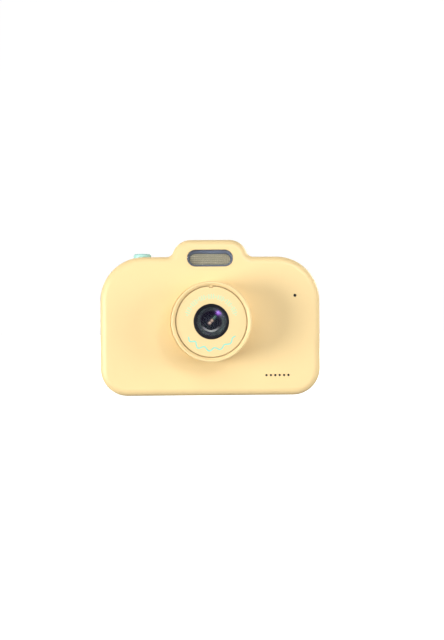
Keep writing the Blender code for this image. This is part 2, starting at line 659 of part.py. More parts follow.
def build_boards():
    outline = [(34.5, 4.5), (34.5, 13.5), (39.9, 13.5), (39.9, 36.5), (34.5, 36.5), (34.5, 45.5)]
    outline += [(28.0, 51.5), (-28.0, 51.5), (-34.5, 45.5), (-34.5, 39.5)]
    outline += [(-38.5, 38.5), (-38.5, 13.5), (-34.5, 12.5), (-34.5, 4.5)]
    board = part("main_board", prism(outline, BOARD_FRONT, BOARD_BACK), "green_board", smooth=False)
    holes = [moved(rod(1.1, BOARD_FRONT - 1, BOARD_BACK + 1), x=x, z=z) for x, z in BOARD_SCREWS.values()]
    cut(board, "board_holes", together(holes))
    front = BOARD_FRONT - FIT
    part("processor_chip", block((7.0, front - 1.1, 16.0), (17.0, front, 26.0)), "black_resin", smooth=False)
    part("memory_chip", block((20.5, front - 1.0, 16.5), (26.5, front, 21.5)), "black_resin", smooth=False)
    shell = block((32.6, USB_Y - 1.6, USB_Z - 4.5), (39.9, USB_Y + 1.6, USB_Z + 4.5))
    usb = part("usb_socket", shell, "silver_metal", smooth=False)
    mouth = prism(stadium(2.9, 1.2, 5), 0, 7.0)
    bmesh.ops.rotate(mouth, cent=(0, 0, 0), matrix=Matrix.Rotation(-math.pi / 2, 3, "Z"), verts=mouth.verts)
    bmesh.ops.rotate(mouth, cent=(0, 0, 0), matrix=Matrix.Rotation(math.pi / 2, 3, "X"), verts=mouth.verts)
    cut(usb, "usb_mouth", moved(mouth, x=34.2, y=USB_Y, z=USB_Z))
    tongue = block((33.5, USB_Y - 0.35, USB_Z - 3.3), (39.2, USB_Y + 0.35, USB_Z + 3.3))
    add(usb, "usb_tongue", tongue)
    card = block((25.5, CARD_Y - 0.75, CARD_Z - 7), (39.9, CARD_Y + 0.75, CARD_Z + 7))
    socket = part("card_socket", card, "silver_metal", smooth=False)
    cut(socket, "card_slot", block((27, CARD_Y - 0.4, CARD_Z - 5.6), (41, CARD_Y + 0.4, CARD_Z + 5.6)))


def build_power():
    cell = part("battery_cell", block((-38.4, -9.2, 13.2), (-19.5, -2.7, 39.0)), "battery_foil")
    bevel = cell.modifiers.new("soft_edges", "BEVEL")
    bevel.width = 1.2 * MM
    bevel.segments = 2
    part("battery_pad", block((-37.5, -10.2, 15.0), (-20.5, -9.5, 37.0)), "foam", smooth=False)
    part("battery_connector", block((-22.0, -2.9, 41.5), (-17.5, 0.1, 46.5)), "white_nylon", smooth=False)
    for name, shift, material in (
        ("battery_lead_red", 0.0, "red_insulation"),
        ("battery_lead_black", 1.9, "black_insulation"),
    ):
        start, end = (-23.2 + shift, -5.2, 39.3), (-20.7 + shift, -2.0, 46.8)
        lead(name, start, 47.0, end, material)


def lead(name, start, top, end, material):
    """A round wire that leaves the cell upwards and turns back down into the connector."""
    path = bpy.data.curves.new(name, "CURVE")
    path.dimensions = "3D"
    path.bevel_depth = 0.5 * MM
    path.bevel_resolution = 1
    path.use_fill_caps = True
    spline = path.splines.new("POLY")
    places = lead_points(Vector(start), top, Vector(end))
    spline.points.add(len(places) - 1)
    for point, place in zip(spline.points, places):
        point.co = (*(place * MM), 1.0)
    wire = bpy.data.objects.new(name, path)
    path.materials.append(finish(material))
    wire.parent = bpy.data.objects["camera_frame"]
    bpy.context.scene.collection.objects.link(wire)


def lead_points(start, top, end, steps=14):
    """A Bezier arc from start, rising past the height top, to end."""
    rise = Vector((start.x, start.y, top + 2))
    fall = Vector((end.x, end.y - 0.6, top + 3))
    found = []
    for i in range(steps + 1):
        t = i / steps
        u = 1 - t
        found.append(start * u**3 + rise * 3 * u * u * t + fall * 3 * u * t * t + end * t**3)
    return found


def build_sound():
    inner = FRONT_FACE + WALL + FIT
    place = (SPEAKER_X, 0, SPEAKER_Z + 0.6)
    part("speaker", prism(oblong(15.0, 10.4, 2.5), inner + 1.2, inner + 4.4), "black_plastic", place)
    ring = part("speaker_gasket", prism(oblong(14.0, 9.4, 2.0), inner, inner + 0.9), "foam", place)
    cut(ring, "gasket_middle", prism(oblong(11.0, 6.4, 1.0), inner - 1, inner + 2), place)
    place = (MIC_X, 0, MIC_Z)
    part("microphone", rod(2.0, inner + 0.8, inner + 2.4, 20), "silver_metal", place)
    boot = [(2.2, inner), (2.5, inner), (2.5, inner + 2.8), (2.2, inner + 2.8)]
    part("microphone_boot", turned(boot, 20), "foam", place)


# ---------- side fittings and screws ----------


def build_side_fittings():
    side = BODY_WIDTH / 2
    hinge = (side, PORT_FRONT + SLIP, (PORT_LOW + PORT_HIGH) / 2)
    half = (PORT_HIGH - PORT_LOW) / 2 - SLIP
    depth = PORT_BACK - PORT_FRONT - 2 * SLIP - 0.2
    cover = part("port_cover", block((-COVER_THICK, 0, -half), (-0.02, depth, half)), "port_rubber", hinge)
    plugs = []
    for y, z, thick, tall in ((USB_Y, USB_Z, 1.0, 3.6), (CARD_Y, CARD_Z, 0.3, 5.0)):
        across, up = y - hinge[1], z - hinge[2]
        plugs.append(block((-COVER_THICK - 0.9, across - thick, up - tall), (-1, across + thick, up + tall)))
    add(cover, "cover_plugs", together(plugs), hinge)
    bar = upright(rod(LANYARD_BAR_RADIUS, -4.8, 4.8))
    part("lanyard_bar", bar, "screw_steel", (LANYARD_BAR_X, LANYARD_Y, LANYARD_Z))


def screw(name, place, length, head):
    """A pan-head screw driven from the back: place is the middle of the head's underside."""
    profile = [(0, -length), (0.3, -length), (SCREW_RADIUS, 0.9 - length), (SCREW_RADIUS, 0)]
    profile += [(SCREW_HEAD_RADIUS, 0), (SCREW_HEAD_RADIUS, head * 0.6)]
    profile += [(SCREW_HEAD_RADIUS * 0.7, head), (0, head)]
    made = part(name, turned(profile, TINY_STEPS, closed=False), "screw_steel", place)
    slots = block((-1.1, head - 0.6, -0.25), (1.1, head + 1, 0.25))
    cut(made, f"{name}_slot", slots, place)
    cut(made, f"{name}_cross", block((-0.25, head - 0.6, -1.1), (0.25, head + 1, 1.1)), place)


def build_screws():
    for name, (x, z) in SHELL_SCREWS.items():
        screw(f"shell_screw_{name}", (x, SHELL_SCREW_SEAT + FIT, z), 12.5, 1.4)
    for name, (x, z) in BOARD_SCREWS.items():
        screw(f"board_screw_{name}", (x, BOARD_BACK + FIT, z), 6.5, 1.2)


def main():
    for old in list(bpy.data.objects):
        bpy.data.objects.remove(old)
    frame = bpy.data.objects.new("camera_frame", None)
    bpy.context.scene.collection.objects.link(frame)
    build_front_shell()
    build_rear_shell()
    build_barrel()
    build_trim_disc()
    build_lens_stack()
    build_image_module()
    build_flash()
    build_shutter()
    build_keys()
    build_key_mat()
    build_screen()
    build_boards()
    build_power()
    build_sound()
    build_side_fittings()
    build_screws()


main()
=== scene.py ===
import math

import bmesh
import bpy
from mathutils import Matrix, Vector


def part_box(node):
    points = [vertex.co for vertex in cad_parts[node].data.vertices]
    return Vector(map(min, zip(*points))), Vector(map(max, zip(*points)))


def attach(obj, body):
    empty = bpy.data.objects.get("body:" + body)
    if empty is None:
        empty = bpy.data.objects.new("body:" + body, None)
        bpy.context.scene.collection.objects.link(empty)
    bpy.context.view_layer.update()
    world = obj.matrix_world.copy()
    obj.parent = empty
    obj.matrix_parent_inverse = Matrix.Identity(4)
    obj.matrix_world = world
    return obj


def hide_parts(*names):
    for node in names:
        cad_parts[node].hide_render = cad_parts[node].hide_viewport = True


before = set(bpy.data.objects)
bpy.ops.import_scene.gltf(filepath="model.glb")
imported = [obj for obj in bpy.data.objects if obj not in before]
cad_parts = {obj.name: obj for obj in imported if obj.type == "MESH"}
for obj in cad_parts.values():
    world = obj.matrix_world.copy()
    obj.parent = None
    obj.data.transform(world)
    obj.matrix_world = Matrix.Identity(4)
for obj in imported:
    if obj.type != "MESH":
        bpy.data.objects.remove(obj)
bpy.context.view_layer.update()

bl_info = {
    "name": "Kids Camera Looks",
    "version": (1, 0, 0),
    "blender": (4, 5, 0),
    "location": "View3D > Sidebar > Kids Camera",
    "description": "Builds the finished casings, lens, keys, marks and studio around the packed kids camera",
    "category": "Object",
}

MM = 0.001


def span(node):
    """Lowest and highest corner of a CAD node at rest, in metres."""
    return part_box(node)


def middle(node):
    low, high = span(node)
    return (low + high) / 2


def across(node):
    """The middle of a CAD node, moved to the front plane: where outlines drawn about the origin go."""
    at = middle(node)
    return (at.x, 0, at.z)


FRONT_LOW, FRONT_HIGH = span("front_shell")
REAR_HIGH = span("rear_shell")[1]
BARREL_LOW, BARREL_HIGH = span("lens_barrel")
LENS_AXIS = middle("lens_barrel")
ON_LENS = (0, 0, LENS_AXIS.z)

# Clearances, and sizes that several pieces share.
GAP = 0.3 * MM
SNUG = 0.12 * MM
KEY_GAP = 0.22 * MM
KEY_FLANGE = 0.7 * MM
SEAM_BEVEL = 0.15 * MM
BARREL_FLANGE = 2 * MM
SPEAKER_PITCH = 1.76 * MM
SPEAKER_HOLES = 6
SHUTTER_RADIUS = 3.5 * MM
SHUTTER_FLANGE_TOP = 52.4 * MM
BOSS_RADIUS = 2.5 * MM
SHELL_SCREWS = tuple(f"shell_screw_{end}_{side}" for end in ("top", "base") for side in ("left", "right"))
BOARD_SCREWS = ("board_screw_top", "board_screw_base")
LONG_KEYS = {"key_up": False, "key_down": False, "key_left": True, "key_right": True}
ROUND_KEYS = ("key_ok", "mode_button", "power_button", "playback_button")


# ---------- settings ----------


def length(name, description, default):
    """A length property, in metres."""
    return bpy.props.FloatProperty(
        name=name, description=description, default=default, unit="LENGTH", precision=5
    )


def colour(name, description, default):
    """A colour property, in linear light."""
    return bpy.props.FloatVectorProperty(
        name=name, description=description, default=default, subtype="COLOR", size=3, min=0.0, max=1.0
    )


def share(name, description, default):
    """A number between none and all."""
    return bpy.props.FloatProperty(
        name=name, description=description, default=default, subtype="FACTOR", min=0.0, max=1.0
    )


def angle(name, description, degrees):
    """An angle property, given in degrees."""
    return bpy.props.FloatProperty(
        name=name, description=description, default=math.radians(degrees), unit="ROTATION"
    )


def watts(name, description, default):
    """The strength of a lamp, in watts."""
    return bpy.props.FloatProperty(
        name=name, description=description, default=default, unit="POWER", min=0.0
    )


class CasingShape(bpy.types.PropertyGroup):
    """Sizes of the two casings."""

    width: length("Width", "Across the casings", FRONT_HIGH.x - FRONT_LOW.x)
    shoulder: length("Shoulder height", "Base to the flat top beside the hump", 55.6 * MM)
    hump: length("Hump height", "Base to the top of the hump", FRONT_HIGH.z - FRONT_LOW.z)
    base_corner: length("Base corner", "Radius of the two lower corners", 10.85 * MM)
    shoulder_corner: length("Shoulder corner", "Radius of the two upper corners", 17.5 * MM)
    hump_flat: length("Hump flat", "Half the flat length on top of the hump", 7.7 * MM)
    hump_radius: length("Hump radius", "Radius of the hump's corners", 7.5 * MM)
    hump_fillet: length("Hump fillet", "Radius where the hump meets the shoulders", 2.8 * MM)
    edge: length("Edge radius", "Roundness of the front and rear edges", 3.0 * MM)
    wall: length("Wall", "Thickness of the moulded walls", 2.0 * MM)
    rim: length("Rim radius", "Roundness of the edge of each opening", 0.22 * MM)
    voice_hole: length("Microphone hole", "Radius of the single hole", 0.6 * MM)
    speaker_hole: length("Speaker hole", "Radius of each hole in the row", 0.46 * MM)


class LensShape(bpy.types.PropertyGroup):
    """Sizes of the barrel, the trim disc and its marks."""

    rim_round: length("Rim roundness", "Radius of the barrel's outer front edge", 0.42 * MM)
    rim_width: length("Rim width", "Width of the barrel's front ring before it slopes in", 0.75 * MM)
    disc_depth: length("Disc depth", "How deep the trim disc sits in the barrel", 1.0 * MM)
    tick_radius: length("Tick radius", "Radius of the arc of ticks above the glass", 9.9 * MM)
    tick_reach: length("Tick reach", "Half the length of a long tick", 0.78 * MM)
    wave_radius: length("Wave radius", "Radius of the wave below the glass", 10.9 * MM)
    wave_height: length("Wave height", "Largest swing of the wave to each side", 0.9 * MM)
    wave_line: length("Wave line", "Width of the wave's line", 0.5 * MM)
    dome: length("Glass dome", "How far the front glass bulges", 1.0 * MM)


class Colours(bpy.types.PropertyGroup):
    """Colours of the moulded pieces and prints, and of the painted light in the lens: the lip of the
    retaining ring and two warm glints.
    """

    butter: colour("Butter", "Casings, barrel and trim disc", (0.88, 0.665, 0.335))
    mint: colour("Mint", "Shutter button and rear keys", (0.39, 0.69, 0.62))
    slate: colour("Slate", "Surround of the flash", (0.100, 0.122, 0.175))
    pearl: colour("Pearl", "Ribbed diffuser of the flash", (0.33, 0.30, 0.205))
    funnel: colour("Funnel", "Grey-green cone behind the glass", (0.044, 0.059, 0.056))
    # The pale colour of the retaining ring's lower lip is painted light, not the ring's own colour.
    retainer: colour("Retainer", "Pale lower lip of the ring around the inner glass", (0.48, 0.46, 0.465))
    coating: colour("Coating", "Tint of the gloss on the front glass", (0.48, 0.18, 1.0))
    # Colour of the two painted reflections: warm glints painted onto the innermost glass.
    warm_glint_paint: colour("Warm coating", "Two warm spots in the innermost glass", (0.95, 0.64, 0.45))
    tick_ink: colour("Tick ink", "Pale ticks above the glass", (0.56, 0.73, 0.47))
    wave_ink: colour("Wave ink", "Mint wave below the glass", (0.26, 0.72, 0.60))
    black: colour("Black", "Lens bezel and hidden frames", (0.012, 0.012, 0.017))
    icon: colour("Icon", "Marks on the rear keys", (0.86, 0.90, 0.84))


class Surfaces(bpy.types.PropertyGroup):
    """Gloss of the main finishes."""

    satin: share("Satin", "Roughness of the butter plastic", 0.46)
    button: share("Button gloss", "Roughness of the mint plastic", 0.34)
    ink: share("Ink", "Roughness of the printed marks", 0.5)


class Studio(bpy.types.PropertyGroup):
    """The view and the lights."""

    distance: length("Distance", "Lens to the widest section of the casing", 600 * MM)
    yaw: angle("Yaw", "How far the view is turned to the shutter's side", 1.7)
    roll: angle("Roll", "Turn of the view about its own axis", 0.38)
    eye: length("Eye height", "Height of the view above the base", 30.2 * MM)
    aside: length("Aside", "How far the view looks past the middle of the casing", 4.7 * MM)
    focal: bpy.props.FloatProperty(name="Focal length", description="In millimetres", default=84.0, min=10.0)
    key: watts("Key", "Strength of the left light", 7.3)
    spot: watts("Spot", "Strength of the upper right light", 1.6)
    fill: watts("Fill", "Strength of the front fill", 4.0)
    glint: watts("Glint", "Strength of the small highlight on the glass", 3.0)
    under: watts("Under", "Strength of the soft light from below", 1.7)
    side: watts("Side", "Strength of the soft light on the right", 5.0)
    back: watts("Back", "Strength of the soft light above and behind", 10.0)
    back_key: watts("Back key", "Strength of the smaller light behind", 3.4)
    ambient: share("Ambient", "Light that comes from all around", 0.15)


# ---------- outlines: closed lists of (x, z) about the origin ----------


def arc(centre, radius, start, end, steps):
    """Points from one angle to another, in degrees, both ends included."""
    turns = [math.radians(start + (end - start) * i / steps) for i in range(steps + 1)]
    return [(centre[0] + radius * math.cos(a), centre[1] + radius * math.sin(a)) for a in turns]


def body_outline(inset=0.0):
    """The casings' outline moved inwards by inset, anticlockwise seen from the front."""
    s = bpy.context.scene.casing_shape
    half = s.width / 2
    base = (half - s.base_corner, s.base_corner)
    shoulder = (half - s.shoulder_corner, s.shoulder - s.shoulder_corner)
    hump = (s.hump_flat, s.hump - s.hump_radius)
    rise = s.shoulder + s.hump_fillet - hump[1]
    reach = math.sqrt((s.hump_radius + s.hump_fillet) ** 2 - rise**2)
    fillet = (hump[0] + reach, s.shoulder + s.hump_fillet)
    meet = math.degrees(math.atan2(rise, reach))
    right = arc(base, s.base_corner - inset, -90, 0, 18)
    right += arc(shoulder, s.shoulder_corner - inset, 0, 90, 26)
    right += arc(fillet, s.hump_fillet + inset, -90, meet - 180, 10)
    right += arc(hump, s.hump_radius - inset, meet, 90, 14)[1:]
    return right + [(-x, z) for x, z in reversed(right)]


def stadium(straight, radius, steps=20, upright=False):
    """A slot shape whose round ends are 2 * straight apart."""
    points = arc((straight, 0), radius, -90, 90, steps) + arc((-straight, 0), radius, 90, 270, steps)
    return [(-z, x) for x, z in points] if upright else points


def ring_points(radius, steps=48):
    return arc((0, 0), radius, 0, 360, steps)[:-1]


def growing_ring(radius, steps, share_of_growth=1.0):
    """A circle as a function of how far it grows."""
    return lambda grow: ring_points(radius + grow * share_of_growth, steps)


def oblong(width, height, corner, steps=8):
    """A rectangle with round corners."""
    x, z = width / 2 - corner, height / 2 - corner
    corners = (((x, -z), -90), ((x, z), 0), ((-x, z), 90), ((-x, -z), 180))
    return [p for place, start in corners for p in arc(place, corner, start, start + 90, steps)]


def growing_oblong(width, height, corner, steps=8):
    """A rectangle with round corners as a function of how far it grows."""
    return lambda grow: oblong(width + 2 * grow, height + 2 * grow, corner + grow, steps)


def soft_polygon(corners, radius, soft):
    """A regular polygon with round corners, one of them pointing up."""
    points = []
    for i in range(corners):
        turn = 90 + 360 * i / corners
        out = radius - soft
        centre = (out * math.cos(math.radians(turn)), out * math.sin(math.radians(turn)))
        points += arc(centre, soft, turn - 180 / corners, turn + 180 / corners, 6)
    return points


def slot_size(node):
    """Half the straight length and the end radius of a lying slot-shaped CAD node."""
    low, high = span(node)
    radius = (high.z - low.z) / 2
    return (high.x - low.x) / 2 - radius, radius


def key_outline(node):
    """The outline of a rear key's cap as a function of how far it grows."""
    low, high = span(node)
    wide, tall = (high.x - low.x) / 2 - KEY_FLANGE, (high.z - low.z) / 2 - KEY_FLANGE
    if node in LONG_KEYS:
        radius, standing = min(wide, tall), LONG_KEYS[node]
        return lambda grow: stadium(max(wide, tall) - radius, radius + grow, 18, standing)
    return growing_ring(max(wide, tall), 56)


# ---------- shapes: each returns a bmesh in metres ----------


def loft(rings):
    """A solid through (points, y) rings, capped at both ends."""
    made = bmesh.new()
    loops = [[made.verts.new((x, y, z)) for x, z in points] for points, y in rings]
    count = len(loops[0])
    for low, high in zip(loops, loops[1:]):
        for i in range(count):
            j = (i + 1) % count
            made.faces.new((low[i], low[j], high[j], high[i]))
    made.faces.new(loops[0])
    made.faces.new(loops[-1])
    return made


def prism(points, front, back):
    return loft([(points, front), (points, back)])


def turned(profile, steps=96, closed=True):
    """A profile of (radius, y) turned about the Y axis. An open profile starts and ends on the axis."""
    made = bmesh.new()
    verts = [made.verts.new((r, y, 0)) for r, y in profile]
    edges = [made.edges.new(pair) for pair in zip(verts, verts[1:])]
    if closed:
        edges.append(made.edges.new((verts[-1], verts[0])))
    bmesh.ops.spin(
        made,
        geom=verts + edges,
        cent=(0, 0, 0),
        axis=(0, 1, 0),
        angle=2 * math.pi,
        steps=steps,
        use_merge=True,
    )
    bmesh.ops.remove_doubles(made, verts=made.verts, dist=1e-7)
    return made


def box_shape(low, high):
    low, high = Vector(low), Vector(high)
    made = bmesh.new()
    placed = Matrix.Translation((low + high) / 2) @ Matrix.Diagonal((*(high - low), 1))
    bmesh.ops.create_cube(made, size=1.0, matrix=placed)
    return made


def bar_shape(left, right, centre, half_y, half_z):
    """A box from left to right in x, about the y and z of a point."""
    low, high = (left, centre.y - half_y, centre.z - half_z), (right, centre.y + half_y, centre.z + half_z)
    return box_shape(low, high)


def moved(shape, offset):
    bmesh.ops.translate(shape, vec=Vector(offset), verts=shape.verts)
    return shape


def spun(shape, degrees, axis):
    turn = Matrix.Rotation(math.radians(degrees), 3, axis)
    bmesh.ops.rotate(shape, cent=(0, 0, 0), matrix=turn, verts=shape.verts)
    return shape


def gathered(shapes):
    """Several separate shapes in one."""
    made = bmesh.new()
    for shape in shapes:
        copy = bpy.data.meshes.new("gathered")
        shape.to_mesh(copy)
        shape.free()
        made.from_mesh(copy)
        bpy.data.meshes.remove(copy)
    return made


def worked(shape, tool, operation="DIFFERENCE"):
    """The shape after a Boolean with the tool; both are used up."""
    objects = []
    for source in (shape, tool):
        bmesh.ops.recalc_face_normals(source, faces=source.faces)
        mesh = bpy.data.meshes.new("working")
        source.to_mesh(mesh)
        source.free()
        obj = bpy.data.objects.new("working", mesh)
        bpy.context.scene.collection.objects.link(obj)
        objects.append(obj)
    modifier = objects[0].modifiers.new("working", "BOOLEAN")
    modifier.operation = operation
    modifier.solver = "EXACT"
    modifier.object = objects[1]
    graph = bpy.context.evaluated_depsgraph_get()
    made = bmesh.new()
    made.from_mesh(objects[0].evaluated_get(graph).to_mesh())
    for obj in objects:
        mesh = obj.data
        bpy.data.objects.remove(obj)
        bpy.data.meshes.remove(mesh)
    if not made.faces:
        raise RuntimeError("a Boolean left nothing of its shape")
    return made


def crowned_edges(outline_of, face, radius, outward, steps=8):
    """Rings that round an edge: from the flat face outwards to the full outline."""
    turns = [math.radians(90 * i / steps) for i in range(steps + 1)]
    return [
        (outline_of(radius * (1 - math.sin(a))), face - outward * radius * (1 - math.cos(a)))
        for a in turns
    ]


def opening(outline_of, face, through, outward):
    """A cutter with a rounded rim: outline_of(grow) gives the outline, face is the wall's outer side."""
    rim = bpy.context.scene.casing_shape.rim
    rings = [(outline_of(rim * 1.6), face + outward * rim * 4)]
    rings += crowned_edges(outline_of, face, rim, outward, 5)
    return loft(rings + [(outline_of(0.0), through)])


# ---------- shader nodes ----------


class Value:
    """A shader socket that takes part in Python arithmetic."""

    def __init__(self, finish, socket):
        self.finish = finish
        self.socket = socket

    def math(self, operation, *operands):
        return self.finish.node("ShaderNodeMath", {"operation": operation}, dict(enumerate(operands)))

    def __add__(self, other):
        return self.math("ADD", self, other)

    __radd__ = __add__

    def __sub__(self, other):
        return self.math("SUBTRACT", self, other)

    def __rsub__(self, other):
        return self.math("SUBTRACT", other, self)

    def __mul__(self, other):
        return self.math("MULTIPLY", self, other)

    __rmul__ = __mul__

    def __pow__(self, other):
        return self.math("POWER", self, other)

    def below(self, edge):
        return self.math("LESS_THAN", self, edge)

    def size(self):
        return self.math("ABSOLUTE", self)

    def wave(self):
        return self.math("SINE", self)

    def smooth(self, low, high):
        return self.finish.node(
            "ShaderNodeMapRange",
            {"interpolation_type": "SMOOTHSTEP"},
            {"Value": self, "From Min": low, "From Max": high},
        )


class Finish:
    """A node material while it is wired up."""

    def __init__(self, name, **plain):
        self.material = bpy.data.materials.new(name)
        self.material.use_nodes = True
        self.tree = self.material.node_tree
        self.shader = self.tree.nodes["Principled BSDF"]
        self.set(**plain)

    def node(self, kind, settings=None, inputs=None, output=0):
        """A node of that kind: settings first, then the values or links of its sockets."""
        made = self.tree.nodes.new(kind)
        for key, value in (settings or {}).items():
            setattr(made, key, value)
        for key, value in (inputs or {}).items():
            self.feed(made.inputs[key], value)
        return Value(self, made.outputs[output])

    def feed(self, socket, value):
        if isinstance(value, Value):
            self.tree.links.new(value.socket, socket)
        elif socket.type == "RGBA" and len(value) == 3:
            socket.default_value = (*value, 1.0)
        else:
            socket.default_value = value

    def set(self, **inputs):
        """Feeds sockets of the Principled shader, with _ for a space."""
        for key, value in inputs.items():
            self.feed(self.shader.inputs[key.replace("_", " ")], value)

    def place(self):
        return self.node("ShaderNodeTexCoord", output="Object")

    def axes(self):
        """The x, y and z of a point on the piece, in metres."""
        parts = self.node("ShaderNodeSeparateXYZ", None, {0: self.place()}).socket.node
        return [Value(self, parts.outputs[i]) for i in range(3)]

    def away(self, x, z):
        """Distance from the line along Y through (x, z)."""
        here_x, _, here_z = self.axes()
        aside, up = here_x - x, here_z - z
        return (aside * aside + up * up) ** 0.5

    def noise(self, grain, detail=2.0, rough=0.5, stretch=(1.0, 1.0, 1.0)):
        """Noise whose patches are about grain metres across."""
        place = self.node("ShaderNodeVectorMath", {"operation": "MULTIPLY"}, {0: self.place(), 1: stretch})
        inputs = {"Vector": place, "Scale": 1 / grain, "Detail": detail, "Roughness": rough}
        return self.node("ShaderNodeTexNoise", None, inputs)

    def cells(self, grain):
        return self.node("ShaderNodeTexVoronoi", None, {"Vector": self.place(), "Scale": 1 / grain})

    def mix(self, factor, low, high):
        return self.node("ShaderNodeMix", {"data_type": "RGBA"}, {0: factor, 6: low, 7: high}, 2)

    def bump(self, height, depth):
        """Wires a bump of that depth in metres to the Normal, and returns the finished material."""
        inputs = {"Height": height, "Distance": depth, "Strength": 1.0}
        self.set(Normal=self.node("ShaderNodeBump", None, inputs))
        return self.material


# Grain, detail and roughness of the noise of handling on polished black pieces.
SMEAR = (2.5 * MM, 4.0, 0.65)


def scaled(shade, factor):
    return tuple(min(1.0, c * factor) for c in shade)


def moulded_plastic(name, shade, roughness, grain=0.35 * MM, depth=0.004 * MM, mottle=0.02):
    """Satin injection moulding: faint clouds of colour and a fine spark-eroded grain."""
    finish = Finish(name, IOR=1.5)
    clouds = finish.noise(14 * MM, 3.0)
    speckle = finish.noise(grain, 2.0)
    tone = finish.mix(clouds, scaled(shade, 1 - mottle), scaled(shade, 1 + mottle))
    finish.set(Base_Color=tone, Roughness=roughness + 0.07 * (clouds - 0.5) + 0.06 * (speckle - 0.5))
    return finish.bump(speckle, depth)


def clear_plastic(name):
    """Clear moulding with faint flow marks."""
    finish = Finish(name, Base_Color=(0.93, 0.95, 0.97), Transmission_Weight=1.0, IOR=1.45)
    flow = finish.noise(3 * MM, 2.0, stretch=(1.0, 1.0, 3.0))
    finish.set(Roughness=0.03 + 0.03 * flow)
    return finish.bump(flow, 0.002 * MM)


def grained(name, shades, roughness, noise, depth, **plain):
    """A finish whose colour, roughness and bump follow one noise, from its lowest to its highest value."""
    finish = Finish(name, **plain)
    grain = finish.noise(*noise)
    low, high = roughness
    finish.set(Base_Color=finish.mix(grain, *shades), Roughness=low + (high - low) * grain)
    return finish.bump(grain, depth)


def lens_glass(name, tint, gloss=0.5, haze=0.01):
    """Coated glass: a trace of dust, and a gloss in the colour of its coating."""
    shades, dust = ((0.86, 0.89, 0.92), (0.94, 0.95, 0.96)), (0.6 * MM, 4.0, 0.7)
    coat = {"Specular_Tint": (*tint, 1.0), "Specular_IOR_Level": gloss, "Transmission_Weight": 1.0}
    return grained(name, shades, (haze, haze + 0.03), dust, 0.0001 * MM, IOR=1.5, **coat)


def painted_glints(name, shade, places):
    """Dark glass with two painted warm glints: soft spots of painted reflection, each at a place (x, z) from
    the lens axis.
    """
    finish = Finish(name, IOR=1.5, Specular_IOR_Level=0.3)
    # Painted reflection: each spot is a warm patch masked by its distance from one point.
    spots = [finish.away(x, LENS_AXIS.z + z).smooth(0.66 * MM, 0.10 * MM) for x, z in places]
    glow = spots[0] + spots[1] - spots[0] * spots[1]
    finish.set(Base_Color=finish.mix(glow, (0.005, 0.006, 0.007), shade))
    finish.set(Roughness=0.3 + 0.1 * finish.noise(0.3 * MM, 2.0))
    return finish.material


def bezel_black(shade, seat_shade):
    """Satin black, which turns to the dark grey of the baffle on the seat under the glass."""
    finish = Finish("bezel_black", IOR=1.5, Specular_IOR_Level=0.1)
    smear = finish.noise(*SMEAR)
    seat = finish.away(LENS_AXIS.x, LENS_AXIS.z).smooth(5.95 * MM, 5.55 * MM)
    finish.set(Base_Color=finish.mix(seat, shade, seat_shade), Roughness=0.34 + 0.14 * smear)
    return finish.bump(smear, 0.0015 * MM)


def retainer_with_painted_lip(shade):
    """Matt black ring with a painted highlight: pale where its lower lip faces up, as if lit from above."""
    finish = Finish("retainer_painted_lip", IOR=1.48, Specular_IOR_Level=0.2)
    # Painted light: the ring turns pale towards its bottom, where light from above would fall on the lower
    # lip.
    lower = (LENS_AXIS.z - finish.axes()[2]).smooth(1.2 * MM, 3.3 * MM)
    painted_lip_light = finish.mix(lower, (0.014, 0.014, 0.016), shade)
    grain = finish.noise(0.1 * MM, 2.0)
    finish.set(Base_Color=painted_lip_light, Roughness=0.55 + 0.1 * grain)
    return finish.bump(grain, 0.002 * MM)


def dark_gloss(name, shade, roughness=0.16, gloss=0.5):
    """Polished dark plastic with a trace of dust and handling."""
    shades = (scaled(shade, 0.85), scaled(shade, 1.2))
    rough = (roughness, roughness + 0.14)
    return grained(name, shades, rough, SMEAR, 0.0015 * MM, IOR=1.5, Specular_IOR_Level=gloss)


def screen_glass():
    """Black bordered cover glass: the picture area shows a shade lighter behind the gloss."""
    finish = Finish("screen_cover_glass", IOR=1.52, Coat_Roughness=0.02)
    low, high = span("screen_window")
    x, _, z = finish.axes()
    border = 2.0 * MM
    half_x, half_z = (high.x - low.x) / 2 - border, (high.z - low.z) / 2 - border
    inside_x = (x - (low.x + high.x) / 2).size().below(half_x)
    inside_z = (z - (low.z + high.z) / 2).size().below(half_z)
    smear = finish.noise(9 * MM, 4.0, 0.6)
    picture = finish.mix(smear, (0.018, 0.020, 0.026), (0.024, 0.027, 0.034))
    finish.set(Base_Color=finish.mix(inside_x * inside_z, (0.004, 0.004, 0.005), picture))
    finish.set(Roughness=0.05 + 0.06 * smear, Coat_Weight=0.6 + 0.1 * smear)
    return finish.bump(smear, 0.001 * MM)


def pearl_diffuser(at, pitch):
    """Milky ribbed plastic, with painted shade in the grooves between its small pyramids."""
    finish = Finish("flash_diffuser_pearl", IOR=1.49, Specular_IOR_Level=0.6)
    clouds = finish.noise(2.2 * MM, 3.0)
    pearl = bpy.context.scene.camera_colours.pearl
    x, _, z = finish.axes()
    turns = 2 * math.pi / pitch
    # Painted shade: the colour darkens along lines through the grooves, where shade falls between the
    # pyramids.
    painted_groove_lines = [(part * turns + math.pi / 2).wave().smooth(0.35, 0.95) for part in (x - at.x, z - at.z)]
    groove = painted_groove_lines[0] + painted_groove_lines[1] - painted_groove_lines[0] * painted_groove_lines[1]
    body = finish.mix(clouds, scaled(pearl, 0.90), scaled(pearl, 1.12))
    finish.set(Base_Color=finish.mix(groove * 0.95, body, scaled(pearl, 0.36)), Roughness=0.24 + 0.1 * clouds)
    return finish.bump(finish.noise(0.25 * MM, 1.0), 0.003 * MM)


def printed_ink(name, shade):
    """Pad-printed ink, thin and slightly uneven."""
    shades, satin = (scaled(shade, 0.94), scaled(shade, 1.08)), bpy.context.scene.surfaces.ink
    return grained(name, shades, (satin - 0.05, satin + 0.05), (0.5 * MM, 3.0, 0.6), 0.002 * MM, IOR=1.48)


